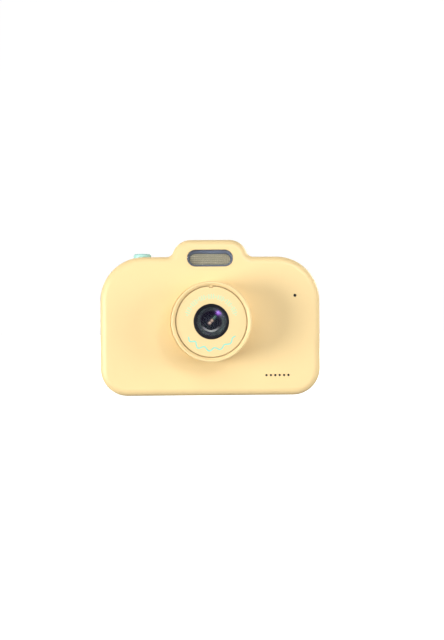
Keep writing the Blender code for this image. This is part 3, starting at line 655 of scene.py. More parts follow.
def metal(name, shade, roughness=0.28, brushed=(1.0, 1.0, 1.0)):
    """Plated or brushed metal with fine scratches along one axis."""
    finish = Finish(name, Metallic=1.0)
    scratch = finish.noise(0.35 * MM, 4.0, 0.7, stretch=brushed)
    cloud = finish.noise(3 * MM, 2.0)
    finish.set(Base_Color=finish.mix(cloud, scaled(shade, 0.88), scaled(shade, 1.1)))
    finish.set(Roughness=roughness + 0.16 * (scratch - 0.5) + 0.08 * cloud)
    return finish.bump(scratch, 0.003 * MM)


def soft_rubber(name, shade, roughness=0.62):
    """Matt silicone with a fine velvet grain."""
    finish = Finish(name, IOR=1.42, Sheen_Weight=0.15, Sheen_Roughness=0.5)
    grain = finish.noise(0.2 * MM, 2.0)
    clouds = finish.noise(6 * MM, 2.0)
    finish.set(Base_Color=finish.mix(clouds, scaled(shade, 0.96), scaled(shade, 1.04)))
    finish.set(Roughness=roughness + 0.12 * grain)
    return finish.bump(grain, 0.006 * MM)


def open_foam(name):
    """Black cellular foam."""
    finish = Finish(name, IOR=1.3)
    cell = finish.cells(0.35 * MM)
    finish.set(Base_Color=finish.mix(cell, (0.010, 0.010, 0.011), (0.050, 0.050, 0.052)))
    finish.set(Roughness=0.88 + 0.1 * cell)
    return finish.bump(cell, 0.06 * MM)


def circuit_board(name):
    """Green solder mask over copper tracks, with tinned pads."""
    finish = Finish(name, IOR=1.5)
    x, _, z = finish.axes()
    weave = finish.noise(0.3 * MM, 2.0)
    bend = finish.noise(5 * MM, 1.0)
    track = ((x * 3600 + bend * 22).wave() * (z * 3100 - bend * 18).wave()).smooth(0.30, 0.42)
    pad = finish.cells(1.9 * MM).below(0.16)
    mask = finish.mix(track, (0.006, 0.070, 0.026), (0.012, 0.125, 0.042))
    finish.set(Base_Color=finish.mix(pad, mask, (0.62, 0.60, 0.52)), Metallic=pad * 0.9)
    finish.set(Roughness=0.34 + 0.12 * weave)
    return finish.bump(track * 0.5 + pad * 0.5 + weave * 0.1, 0.03 * MM)


def resin_package(name):
    """Moulded chip resin with a fine grain."""
    shades = ((0.010, 0.010, 0.011), (0.030, 0.030, 0.031))
    return grained(name, shades, (0.5, 0.7), (0.12 * MM, 3.0, 0.7), 0.008 * MM, IOR=1.5)


def polyimide(name):
    """Amber flexible circuit with copper lines under its film."""
    finish = Finish(name, IOR=1.6)
    x, _, _ = finish.axes()
    line = (x * 12000).wave().smooth(-0.2, 0.3)
    cloud = finish.noise(1.5 * MM, 2.0)
    film = finish.mix(line, (0.34, 0.13, 0.015), (0.52, 0.25, 0.05))
    finish.set(Base_Color=finish.mix(cloud * 0.3, film, (0.60, 0.34, 0.08)), Roughness=0.3 + 0.12 * cloud)
    return finish.bump(line, 0.01 * MM)


def crinkled_foil(name):
    """Laminated pouch foil with soft crinkles."""
    finish = Finish(name)
    crinkle = finish.noise(2.2 * MM, 5.0, 0.6)
    finish.set(Base_Color=finish.mix(crinkle, (0.46, 0.47, 0.49), (0.66, 0.67, 0.69)))
    finish.set(Metallic=0.75 + 0.2 * crinkle, Roughness=0.3 + 0.25 * crinkle)
    return finish.bump(crinkle, 0.12 * MM)


# ---------- pieces ----------


def piece(name, shape, finish, replaces=None, slot=None, body="case", sharp=32, weighted=False):
    """A finished piece that rides on a body and may stand for a CAD node."""
    bmesh.ops.recalc_face_normals(shape, faces=shape.faces)
    mesh = bpy.data.meshes.new(name)
    shape.to_mesh(mesh)
    shape.free()
    mesh.materials.append(finish)
    mesh.shade_smooth()
    mesh.set_sharp_from_angle(angle=math.radians(sharp))
    obj = bpy.data.objects.new(name, mesh)
    bpy.context.scene.collection.objects.link(obj)
    if weighted:
        modifier = obj.modifiers.new("even_shading", "WEIGHTED_NORMAL")
        modifier.keep_sharp = True
    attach(obj, body)
    if replaces:
        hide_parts(replaces)
    return obj


def dress(node, finish):
    """Gives a CAD node that stays in view its finish."""
    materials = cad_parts[node].data.materials
    if not materials:
        materials.append(finish)
    for i in range(len(materials)):
        materials[i] = finish


class CAMERA_OT_front_casing(bpy.types.Operator):
    """Builds the front casing with its rounded edge and all its openings"""

    bl_idname = "camera.front_casing"
    bl_label = "Front casing"

    def execute(self, context):
        s = context.scene.casing_shape
        face, seam, inside = FRONT_LOW.y, FRONT_HIGH.y, FRONT_LOW.y + s.wall
        rings = crowned_edges(body_outline, face, s.edge, -1)
        rings += [(body_outline(), seam - SEAM_BEVEL), (body_outline(SEAM_BEVEL), seam)]
        rings += [(body_outline(s.wall), seam), (body_outline(s.wall), inside)]
        shell = worked(loft(rings), self.bosses(inside - 0.5 * MM), "UNION")
        through = inside + 1 * MM
        sounds = self.sound_places(s)
        holes = [self.barrel_hole(face, through), self.flash_hole(face, through), self.shutter_hole(s)]
        for place, radius in sounds:
            holes.append(moved(opening(growing_ring(radius, 32, 0.25), face, through, -1), place))
        for cutters in (holes, self.side_pockets(), self.socket_windows()):
            shell = worked(shell, gathered(cutters))
        butter, satin = context.scene.camera_colours.butter, context.scene.surfaces.satin
        finish = moulded_plastic("butter_casing", butter, satin)
        piece("front_casing", shell, finish, "front_shell", "cream_plastic", sharp=40, weighted=True)
        mesh_discs = gathered([moved(self.mesh_disc(radius, face), place) for place, radius in sounds])
        piece("sound_meshes", mesh_discs, open_foam("mesh_black"), None, "foam")
        return {"FINISHED"}

    def bosses(self, root):
        """Blocks inside the wall around the port recess and the lanyard pocket, and the screw bosses."""
        low, high = span("port_cover")
        left, right, end = FRONT_LOW.x + 1 * MM, FRONT_HIGH.x - 1 * MM, 2 * MM
        inner, above = 40.2 * MM, 1.2 * MM
        made = [box_shape((inner, low.y - 1 * MM, low.z - above), (right, end, high.z + above))]
        made.append(bar_shape(left, left + 4.1 * MM, middle("lanyard_bar"), 3.6 * MM, 6 * MM))
        bore = 0.95 * MM
        profile = [(bore, root), (BOSS_RADIUS, root), (BOSS_RADIUS, end), (bore, end)]
        made += [moved(turned(profile, 32), across(node)) for node in SHELL_SCREWS]
        return gathered(made)

    def barrel_hole(self, face, through):
        radius = BARREL_HIGH.x - BARREL_FLANGE + SNUG
        return moved(opening(growing_ring(radius, 128), face, through, -1), ON_LENS)

    def flash_hole(self, face, through):
        straight, radius = slot_size("flash_window")
        hole = opening(lambda grow: stadium(straight, radius + SNUG + grow), face, through, -1)
        return moved(hole, across("flash_window"))

    def shutter_hole(self, s):
        at = middle("shutter_button")
        play, depth = 0.2 * MM, 4 * MM
        hole = opening(growing_ring(SHUTTER_RADIUS + play, 64), 0, depth, -1)
        return moved(spun(hole, -90, "X"), (at.x, at.y, s.shoulder))

    def sound_places(self, s):
        """Where each speaker hole and the microphone hole goes, with its radius."""
        speaker, below = middle("speaker"), 0.6 * MM
        steps = [i - (SPEAKER_HOLES - 1) / 2 for i in range(SPEAKER_HOLES)]
        row = [(speaker.x + SPEAKER_PITCH * step, 0, speaker.z - below) for step in steps]
        return [(place, s.speaker_hole) for place in row] + [(across("microphone"), s.voice_hole)]

    def mesh_disc(self, radius, face):
        """A small dished disc of black mesh a little way down a sound hole, with ridges around its middle."""
        front, edge, dish, rings = face + 0.16 * MM, radius - 0.01 * MM, 0.1 * MM, 6
        profile = [(0, front + dish)]
        for i in range(1, rings + 1):
            ridge = 0.05 * MM if i % 2 else 0.0
            profile.append((edge * i / rings, front + dish * (1 - (i / rings) ** 2) + ridge))
        back = front + 0.4 * MM
        return turned(profile + [(edge, back), (0, back)], 32, closed=False)

    def side_pockets(self):
        """The recess of the port cover and the pocket behind the lanyard bar."""
        low, high = span("port_cover")
        wide, tall, depth = high.y - low.y + 0.35 * MM, high.z - low.z + 0.4 * MM, 1.7 * MM
        recess = spun(opening(growing_oblong(wide, tall, 1.0 * MM), 0, depth, -1), 90, "Z")
        moved(recess, (FRONT_HIGH.x, (low.y + high.y) / 2, (low.z + high.z) / 2))
        bar = middle("lanyard_bar")
        pocket = spun(opening(growing_oblong(5.2 * MM, 7 * MM, 1.6 * MM), 0, 3.8 * MM, -1), -90, "Z")
        return [recess, moved(pocket, (FRONT_LOW.x, bar.y, bar.z))]

    def socket_windows(self):
        """Openings from the recess to the two sockets, and the holes that hold the lanyard bar."""
        inner, outer = 39.4 * MM, FRONT_HIGH.x - 1 * MM
        half = (outer - inner) / 2
        made = []
        for node, spare in (("usb_socket", 0.3 * MM), ("card_socket", -1.1 * MM)):
            low, high = span(node)
            wide, tall = high.y - low.y + 0.4 * MM, high.z - low.z + 2 * spare
            hole = spun(prism(oblong(wide, tall, min(wide, tall) * 0.42), -half, half), 90, "Z")
            made.append(moved(hole, (inner + half, (low.y + high.y) / 2, (low.z + high.z) / 2)))
        radius, reach = 0.66 * MM, 5 * MM
        rod = spun(prism(ring_points(radius, 24), -reach, reach), 90, "X")
        return made + [moved(rod, middle("lanyard_bar"))]


class CAMERA_OT_rear_casing(bpy.types.Operator):
    """Builds the rear casing with its screen recess, key openings and screw wells"""

    bl_idname = "camera.rear_casing"
    bl_label = "Rear casing"

    def execute(self, context):
        s = context.scene.casing_shape
        face, start = REAR_HIGH.y, FRONT_HIGH.y + GAP
        lip, tongue = s.wall + GAP, s.wall + GAP + 1 * MM
        rings = crowned_edges(body_outline, face, s.edge, 1)
        profile = [(0, start + SEAM_BEVEL), (SEAM_BEVEL, start), (lip, start), (lip, start - 2 * MM)]
        profile += [(tongue, start - 2 * MM), (tongue, start + 2 * MM)]
        profile += [(s.wall, start + 3.3 * MM), (s.wall, face - s.wall)]
        rings += [(body_outline(inset), y) for inset, y in profile]
        shell = worked(loft(rings), self.columns(BOSS_RADIUS, 32, 2.3 * MM, face - 1 * MM), "UNION")
        inner = face - s.wall - 1 * MM
        low, high = span("screen_window")
        wide, tall = high.x - low.x + GAP, high.z - low.z + GAP
        recess = opening(growing_oblong(wide, tall, 2.1 * MM), face, face - 1.15 * MM, 1)
        holes = [moved(recess, across("screen_window"))]
        for node in (*LONG_KEYS, *ROUND_KEYS):
            outline = key_outline(node)
            hole = opening(lambda grow: outline(KEY_GAP + grow), face, inner, 1)
            holes.append(moved(hole, across(node)))
        well_radius, below_head = 1.8 * MM, 1.7 * MM
        for node in SHELL_SCREWS:
            well = opening(growing_ring(well_radius, 40), face, span(node)[1].y - below_head, 1)
            holes.append(moved(well, across(node)))
        shell = worked(shell, gathered(holes))
        side_ledges, end_ledges = 4.2 * MM, 3.7 * MM
        window = prism(oblong(wide - side_ledges, tall - end_ledges, 1 * MM), inner, face)
        through = [self.columns(1.05 * MM, 24, 0, face - 3 * MM), moved(window, across("screen_window"))]
        shell = worked(shell, gathered(through))
        finish = bpy.data.materials["butter_casing"]
        piece("rear_casing", shell, finish, "rear_shell", "cream_plastic", sharp=40, weighted=True)
        return {"FINISHED"}

    def columns(self, radius, steps, front, back):
        """A round column at each of the case screws."""
        circle = ring_points(radius, steps)
        return gathered([moved(prism(circle, front, back), across(node)) for node in SHELL_SCREWS])


class CAMERA_OT_lens_barrel(bpy.types.Operator):
    """Turns the lens barrel with its soft front ring and sloping inner edge, and its key tab"""

    bl_idname = "camera.lens_barrel"
    bl_label = "Lens barrel"

    def execute(self, context):
        s = context.scene.lens_shape
        face, back, flange = BARREL_LOW.y, BARREL_HIGH.y, BARREL_HIGH.x
        outer = flange - BARREL_FLANGE
        disc_low, disc_high = span("lens_trim_disc")
        inner, shelf, web = disc_high.x + GAP, disc_high.y + GAP, 7.15 * MM
        crest, lip = outer - s.rim_round, outer - s.rim_width
        small = s.rim_round * 0.5
        profile = [(flange, back - 1.2 * MM), (outer + 0.5 * MM, back - 1.2 * MM), (outer, back - 1.7 * MM)]
        profile += arc((crest, face + s.rim_round), s.rim_round, 0, -90, 8)
        profile += arc((lip + small * 0.4, face + small), small, -90, -150, 5)
        profile += [(inner + 0.05 * MM, disc_low.y - 0.22 * MM), (inner, disc_low.y - 0.12 * MM)]
        profile += [(inner, shelf), (web, shelf), (web, shelf + 1.2 * MM)]
        profile += [(inner - 0.45 * MM, shelf + 1.2 * MM), (inner - 0.45 * MM, back), (flange, back)]
        peg, bevel = 0.86 * MM, 0.14 * MM
        sides = [(peg - bevel, disc_low.y + 0.1 * MM), (peg, disc_low.y + 0.25 * MM), (peg, shelf + 0.5 * MM)]
        tab = loft([(ring_points(radius, 32), y) for radius, y in sides])
        barrel = moved(worked(turned(profile, 144), moved(tab, (0, 0, inner)), "UNION"), ON_LENS)
        butter, satin = context.scene.camera_colours.butter, context.scene.surfaces.satin
        finish = moulded_plastic("butter_barrel", butter, satin - 0.05)
        piece("barrel", barrel, finish, "lens_barrel", "cream_plastic", sharp=42, weighted=True)
        return {"FINISHED"}


class CAMERA_OT_trim_disc(bpy.types.Operator):
    """Builds the trim disc and its printed marks: an arc of ticks above the glass and a wave below it"""

    bl_idname = "camera.trim_disc"
    bl_label = "Trim disc and marks"

    def execute(self, context):
        low, high = span("lens_trim_disc")
        colours, radius, edge, hole = context.scene.camera_colours, high.x, 0.14 * MM, 7.0 * MM
        profile = arc((hole + edge, low.y + edge), edge, 180, 270, 4)
        profile += arc((radius - edge, low.y + edge), edge, 270, 360, 4)
        profile += [(radius, high.y), (hole, high.y)]
        key_notch, beyond = 1.12 * MM, 1 * MM
        notch = prism(ring_points(key_notch, 32), low.y - beyond, high.y + beyond)
        disc = moved(worked(turned(profile, 144), moved(notch, (0, 0, radius + GAP))), ON_LENS)
        shade, satin = scaled(colours.butter, 0.96), context.scene.surfaces.satin + 0.04
        finish = moulded_plastic("butter_disc", shade, satin, depth=0.003 * MM)
        piece("trim_disc", disc, finish, "lens_trim_disc", "cream_plastic", sharp=42, weighted=True)
        pale, mint = printed_ink("pale_ink", colours.tick_ink), printed_ink("mint_ink", colours.wave_ink)
        piece("tick_marks", self.ticks(context, low.y), pale, None, "mint_plastic")
        piece("wave_mark", self.wave(context, low.y), mint, None, "mint_plastic")
        return {"FINISHED"}

    def stroke(self, points, width, face):
        """A flat printed line along (x, z) points about the lens axis, with round ends."""
        left, right = [], []
        for i, (x, z) in enumerate(points):
            along = self.heading(points[max(i - 1, 0)], points[min(i + 1, len(points) - 1)])
            side = Vector((-along.y, along.x)).normalized() * width / 2
            left.append((x + side.x, z + side.y))
            right.append((x - side.x, z - side.y))
        outline = right
        for end, before, edge in ((points[-1], points[-2], left), (points[0], points[1], [])):
            along = self.heading(before, end)
            turn = math.degrees(math.atan2(along.y, along.x))
            outline = outline + arc(end, width / 2, turn - 90, turn + 90, 6)[1:-1] + edge[::-1]
        ink = 0.012 * MM
        return moved(prism(outline, face - ink, face + ink * 0.5), ON_LENS)

    def heading(self, start, end):
        return Vector((end[0] - start[0], end[1] - start[1]))

    def ticks(self, context, face):
        """Strokes on an arc over the top of the glass, every fourth of them short."""
        s, count, first, sweep, short, made = context.scene.lens_shape, 29, 165, 150, 0.35, []
        for i in range(count):
            turn = math.radians(first - sweep * i / (count - 1))
            reach = s.tick_reach if i % 4 else s.tick_reach * short
            radii = [s.tick_radius + r for r in (-reach, 0, reach)]
            ends = [(radius * math.cos(turn), radius * math.sin(turn)) for radius in radii]
            made.append(self.stroke(ends, 0.5 * MM, face))
        return gathered(made)

    def wave(self, context, face):
        """A smooth wave under the glass that starts with wide swings and dies away."""
        s, steps, swings, first, sweep = context.scene.lens_shape, 220, 5, 214, 114
        points = []
        for i in range(steps + 1):
            t = i / steps
            turn = math.radians(first + sweep * t)
            swell = (1 - 0.6 * t) * min(1.0, 12 * t)
            radius = s.wave_radius + s.wave_height * swell * math.sin(2 * math.pi * swings * t)
            points.append((radius * math.cos(turn), radius * math.sin(turn)))
        return self.stroke(points, s.wave_line, face)


class CAMERA_OT_lens_optics(bpy.types.Operator):
    """Builds the black bezel, the domed front glass, the stepped baffle and the inner glasses"""

    bl_idname = "camera.lens_optics"
    bl_label = "Lens optics"

    def execute(self, context):
        colours, bulge = context.scene.camera_colours, context.scene.lens_shape.dome
        self.bezel(colours)
        low, high = span("front_glass")
        edge, back, rim = high.x, high.y, low.y + bulge
        profile = [(0, back), (edge - 0.15 * MM, back), (edge, back - 0.12 * MM), (edge, rim)]
        profile += self.dome(edge, rim, bulge)[1:]
        coated = lens_glass("front_glass_coated", colours.coating, 0.3, 0.13)
        front = self.round_piece("domed_glass", profile, coated, "front_glass", "clear_glass")
        self.baffle(colours)
        high = span("inner_lens")[1]
        profile = [(0, high.y), (high.x, high.y)] + self.dome(high.x, high.y - 0.5 * MM, 0.9 * MM)
        tinted = lens_glass("inner_lens_coated", (0.35, 0.80, 0.62), 0.04, 0.06)
        inner = self.round_piece("inner_glass", profile, tinted, "inner_lens", "clear_glass")
        edge, back = 1.5 * MM, span("iris_plate")[0].y - 0.05 * MM
        profile = [(0, back), (edge, back)] + self.dome(edge, back - 0.03 * MM, 0.18 * MM)
        # Places of the two painted warm glints on the innermost glass.
        spots = ((0.32 * MM, 0.34 * MM), (-0.38 * MM, -0.42 * MM))
        warm = painted_glints("iris_glass_painted_glints", colours.warm_glint_paint, spots)
        self.round_piece("iris_glass", profile, warm, None, "clear_glass")
        front.visible_shadow = inner.visible_shadow = False
        return {"FINISHED"}

    def round_piece(self, name, profile, finish, replaces, slot, **shading):
        """A piece turned about the lens axis: an open profile starts and ends on that axis."""
        shape = moved(turned(profile, closed=profile[0][0] > 0), ON_LENS)
        return piece(name, shape, finish, replaces, slot, **shading)

    def bezel(self, colours):
        """The black ring with a soft outer edge and a seat for the front glass."""
        low, high = span("lens_bezel")
        face, flange, back = low.y, high.x, high.y
        outer, seat, bore, soft = 6.85 * MM, 5.85 * MM, 5.25 * MM, 0.35 * MM
        ledge, shelf = back - 1.0 * MM, face + 1.35 * MM
        profile = [(flange, back), (flange, ledge), (outer, ledge)]
        profile += arc((outer - soft, face + soft), soft, 0, -90, 6)
        profile += [(seat + 0.25 * MM, face + 0.02 * MM), (seat, face + 0.2 * MM), (seat, shelf)]
        profile += [(bore, shelf), (bore, back)]
        black = bezel_black(colours.black, colours.funnel)
        self.round_piece("bezel_ring", profile, black, "lens_bezel", "black_plastic", sharp=50)

    def dome(self, radius, edge, height, steps=32):
        """(radius, y) points of a lens surface from its rim to its middle, bulging towards -Y."""
        curve = (radius**2 + height**2) / (2 * height)
        turns = [math.asin(radius / curve) * (1 - i / steps) for i in range(steps + 1)]
        return [(curve * math.sin(a), edge + curve * (1 - math.cos(a)) - height) for a in turns]

    def baffle(self, colours):
        """A cone of fine steps that narrows towards the iris, and the retaining ring at its throat."""
        low, high = span("lens_baffle")
        wide, throat, steps = 5.15 * MM, 3.62 * MM, 8
        depth = high.y - low.y - 1.4 * MM
        bottom, tread, rise = low.y + depth, (wide - throat) / steps, depth / steps
        profile = [(high.x, low.y), (high.x, high.y), (throat, high.y), (throat, bottom)]
        for i in range(steps, 0, -1):
            radius, y = wide - tread * i, low.y + rise * i
            profile += [(radius, y), (radius + tread * 0.7, y - rise * 0.93)]
        profile.append((wide, low.y))
        grey = dark_gloss("baffle_grey", colours.funnel, 0.45, 0.25)
        self.round_piece("stepped_baffle", profile, grey, "lens_baffle", "black_plastic")
        front, edge, bore = bottom - 0.15 * MM, throat - 0.02 * MM, 2.85 * MM
        back = front + 1.02 * MM
        ring = [(edge, front + 0.1 * MM), (edge - 0.08 * MM, front), (edge - 0.16 * MM, front + 0.04 * MM)]
        ring += [(bore, back - 0.07 * MM), (bore, back), (edge, back)]
        # The retaining ring's pale lower lip is a painted highlight.
        pale = retainer_with_painted_lip(colours.retainer)
        self.round_piece("retaining_ring", ring, pale, None, "black_plastic")


class CAMERA_OT_flash(bpy.types.Operator):
    """Builds the flash: clear window, slate surround, ribbed diffuser and the two lamps"""

    bl_idname = "camera.flash"
    bl_label = "Flash"

    def execute(self, context):
        low, high = span("flash_window")
        straight, radius = slot_size("flash_window")
        place = across("flash_window")
        rings = crowned_edges(lambda inset: stadium(straight, radius - inset), low.y, 0.16 * MM, -1, 5)
        pane = moved(loft(rings + [(stadium(straight, radius), high.y)]), place)
        clear = clear_plastic("flash_window_clear")
        piece("clear_window", pane, clear, "flash_window", "clear_glass").visible_shadow = False
        self.surround(place, straight, radius - 0.2 * MM, context.scene.camera_colours.slate)
        self.diffuser()
        for node in ("flash_led_left", "flash_led_right"):
            lamp = Finish(f"{node}_phosphor", Roughness=0.5)
            grain = lamp.noise(0.2 * MM, 3.0)
            lamp.set(Base_Color=lamp.mix(grain, (0.72, 0.52, 0.07), (0.86, 0.68, 0.14)))
            dress(node, lamp.bump(grain, 0.01 * MM))
        return {"FINISHED"}

    def surround(self, place, straight, outer, shade):
        """A slate ring whose front slopes in to the diffuser."""
        low, high = span("flash_reflector")
        slot, plate = slot_size("flash_diffuser")
        front, ledge = low.y, outer + 1.2 * MM
        sides = [(outer, front), (outer, front + 0.9 * MM), (ledge, front + 0.95 * MM)]
        sides += [(ledge, front + 1.9 * MM), (outer, front + 1.95 * MM), (outer, high.y)]
        bore = [(0.42 * MM, front - 0.5 * MM), (0.32 * MM, front), (0.16 * MM, front + 0.2 * MM)]
        bore.append((SNUG, high.y + 1 * MM))
        body = loft([(stadium(straight, radius), y) for radius, y in sides])
        hole = loft([(stadium(slot, plate + spare), y) for spare, y in bore])
        drop = middle("flash_diffuser").z - place[2]
        ring = worked(body, moved(hole, (0, 0, drop)))
        slate = dark_gloss("slate_surround", shade, 0.3)
        piece("flash_surround", moved(ring, place), slate, "flash_reflector", "slate_plastic", sharp=40)

    def diffuser(self):
        """Rows of small pyramids moulded on a thin stadium plate."""
        low, high = span("flash_diffuser")
        straight, radius = slot_size("flash_diffuser")
        pitch, rise = 0.8 * MM, 0.09 * MM
        columns, rows = 2 * round((straight + radius) / pitch + 1), 2 * round(radius / pitch + 1)
        made, grid = bmesh.new(), {}
        for i in range(columns + 1):
            for j in range(rows + 1):
                x, z = (i - columns / 2) * pitch, (j - rows / 2) * pitch
                grid[i, j] = made.verts.new((x, low.y + rise, z))
                grid[i, j, "back"] = made.verts.new((x, high.y, z))
        for i in range(columns):
            for j in range(rows):
                tip = made.verts.new(((i + 0.5 - columns / 2) * pitch, low.y, (j + 0.5 - rows / 2) * pitch))
                cell = [(i, j), (i + 1, j), (i + 1, j + 1), (i, j + 1)]
                for a, b in zip(cell, cell[1:] + cell[:1]):
                    made.faces.new((grid[a], grid[b], tip))
                made.faces.new([grid[(*corner, "back")] for corner in cell[:1] + cell[:0:-1]])
        edge = [(i, 0) for i in range(columns)] + [(columns, j) for j in range(rows)]
        edge += [(i, rows) for i in range(columns, 0, -1)] + [(0, j) for j in range(rows, 0, -1)]
        for a, b in zip(edge, edge[1:] + edge[:1]):
            made.faces.new((grid[a], grid[b], grid[(*b, "back")], grid[(*a, "back")]))
        plate = worked(made, prism(stadium(straight, radius), low.y - 1 * MM, high.y + 1 * MM), "INTERSECT")
        moved(plate, across("flash_diffuser"))
        pearl = pearl_diffuser(middle("flash_diffuser"), pitch)
        piece("ribbed_diffuser", plate, pearl, "flash_diffuser", "flash_lens", sharp=12)


class CAMERA_OT_shutter_button(bpy.types.Operator):
    """Turns the mint shutter button with its softly domed cap"""

    bl_idname = "camera.shutter_button"
    bl_label = "Shutter button"

    def execute(self, context):
        low, high = span("shutter_button")
        at = middle("shutter_button")
        cap, flange, stem = SHUTTER_RADIUS, high.x - at.x, 1.4 * MM
        tall, soft, crown = high.z - low.z, 0.75 * MM, 0.12 * MM
        under = high.z - SHUTTER_FLANGE_TOP
        base = under + 0.9 * MM
        profile = [(0, 0), (cap * 0.35, crown * 0.15), (cap - soft - 0.4 * MM, crown * 0.8)]
        profile += arc((cap - soft, crown + soft), soft, -90, 0, 8)
        profile += [(cap, under), (flange, under), (flange, base), (stem, base), (stem, tall), (0, tall)]
        button = moved(spun(turned(profile, closed=False), -90, "X"), (at.x, at.y, high.z))
        colours, surfaces = context.scene.camera_colours, context.scene.surfaces
        mint = moulded_plastic("mint_button", colours.mint, surfaces.button)
        names = ("shutter_button", "mint_plastic", "shutter")
        piece("shutter_cap", button, mint, *names, sharp=45, weighted=True)
        return {"FINISHED"}


class CAMERA_OT_rear_keys(bpy.types.Operator):
    """Builds the eight rear keys with pillowed caps and their raised marks"""

    bl_idname = "camera.rear_keys"
    bl_label = "Rear keys"

    def execute(self, context):
        colours, surfaces = context.scene.camera_colours, context.scene.surfaces
        mint = moulded_plastic("mint_keys", colours.mint, surfaces.button)
        white = printed_ink("icon_white", colours.icon)
        soft, pillow, stem = 0.42 * MM, 0.10 * MM, -1.0 * MM
        for node in (*LONG_KEYS, *ROUND_KEYS):
            low, high = span(node)
            outline, place = key_outline(node), across(node)
            under, over, top = low.y + 1.9 * MM, low.y + 2.8 * MM, high.y - pillow
            sides = [(stem, low.y), (stem, under), (KEY_FLANGE, under), (KEY_FLANGE, over), (0.0, over)]
            for turn in [math.radians(15 * i) for i in range(7)]:
                sides.append((-soft * (1 - math.cos(turn)), top - soft * (1 - math.sin(turn))))
            sides += [(-soft - 0.3 * MM, top + pillow * 0.5), (-soft - 0.8 * MM, top + pillow * 0.9)]
            cap = moved(loft([(outline(grow), y) for grow, y in sides]), place)
            piece(f"{node}_cap", cap, mint, node, "mint_plastic", node, sharp=50)
            mark = moved(self.mark(node, high.y), place)
            piece(f"{node}_mark", mark, white, None, "mint_plastic", node, sharp=30)
        return {"FINISHED"}

    def mark(self, node, face):
        """The raised sign on a key: arrows on the four long keys, simple signs on the round ones."""
        root = face - 0.14 * MM
        turns = {"key_up": 0, "key_right": -90, "key_down": -180, "key_left": -270, "playback_button": -90}
        if node in turns:
            size = 0.85 * MM if node in LONG_KEYS else 1.0 * MM
            return spun(prism(soft_polygon(3, size, 0.2 * MM), root, face), turns[node], "Y")
        if node == "mode_button":
            bar = oblong(2.1 * MM, 0.42 * MM, 0.2 * MM, 4)
            return gathered([moved(prism(bar, root, face), (0, 0, z * MM)) for z in (-0.75, 0, 0.75)])
        if node == "power_button":
            gap = prism(oblong(0.95 * MM, 1.2 * MM, 0.1 * MM, 2), root - 1 * MM, face + 1 * MM)
            ring = worked(self.ring(0.8 * MM, 1.15 * MM, root, face, 48), moved(gap, (0, 0, 1.1 * MM)))
            bar = prism(oblong(0.36 * MM, 1.25 * MM, 0.17 * MM, 4), root, face)
            return gathered([ring, moved(bar, (0, 0, 0.65 * MM))])
        return self.ring(1.12 * MM, 1.5 * MM, root, face, 56)

    def ring(self, inner, outer, root, face, steps):
        return turned([(outer, root), (outer, face), (inner, face), (inner, root)], steps)


class CAMERA_OT_screen(bpy.types.Operator):
    """Builds the cover glass of the rear screen"""

    bl_idname = "camera.screen"
    bl_label = "Rear screen"

    def execute(self, context):
        low, high = span("screen_window")
        outline = growing_oblong(high.x - low.x, high.z - low.z, 2.0 * MM, 12)
        rings = crowned_edges(lambda inset: outline(-inset), high.y, 0.25 * MM, 1, 5)
        pane = moved(loft(rings + [(outline(0), low.y)]), across("screen_window"))
        piece("cover_glass", pane, screen_glass(), "screen_window", "screen_glass")
        return {"FINISHED"}


class CAMERA_OT_side_fittings(bpy.types.Operator):
    """Builds the soft port cover with its plugs and finger groove, and the lanyard bar on the other side"""

    bl_idname = "camera.side_fittings"
    bl_label = "Port cover and lanyard bar"

    def execute(self, context):
        self.cover(context.scene.camera_colours.butter)
        self.bar()
        return {"FINISHED"}

    def cover(self, butter):
        """A soft slab with a finger groove, and a plug for each socket."""
        low, high = span("port_cover")
        at = middle("port_cover")
        outline = growing_oblong(high.y - low.y, high.z - low.z, 0.95 * MM)
        rings = crowned_edges(lambda inset: outline(-inset), 0, 0.3 * MM, -1, 5)
        slab = spun(loft(rings + [(outline(0), 1.35 * MM)]), 90, "Z")
        moved(slab, (high.x, at.y, at.z))
        radius, reach = 0.5 * MM, 2.4 * MM
        groove = spun(prism(ring_points(radius, 20), -reach, reach), 90, "X")
        cover = worked(slab, moved(groove, (high.x + 0.28 * MM, high.y - 1.1 * MM, at.z)))
        plugs = []
        for node, half_y, spare in (("usb_socket", 1.0 * MM, 0.9 * MM), ("card_socket", 0.3 * MM, 2.0 * MM)):
            half_z = (span(node)[1].z - span(node)[0].z) / 2 - spare
            plugs.append(bar_shape(low.x, high.x - 1 * MM, middle(node), half_y, half_z))
        cover = worked(cover, gathered(plugs), "UNION")
        rubber = soft_rubber("butter_rubber", scaled(butter, 0.97))
        piece("soft_cover", cover, rubber, "port_cover", "port_rubber", "port_cover", sharp=40, weighted=True)

    def bar(self):
        """A round steel bar with small bevels at its ends."""
        low, high = span("lanyard_bar")
        radius, half, bevel = (high.x - low.x) / 2, (high.z - low.z) / 2, 0.12 * MM
        profile = [(0, -half), (radius - bevel, -half), (radius, bevel - half)]
        profile += [(radius, half - bevel), (radius - bevel, half), (0, half)]
        bar = spun(turned(profile, 40, closed=False), 90, "X")
        steel = metal("bar_steel", (0.60, 0.60, 0.62), 0.24, (1.0, 1.0, 0.08))
        piece("steel_bar", moved(bar, middle("lanyard_bar")), steel, "lanyard_bar", "screw_steel")


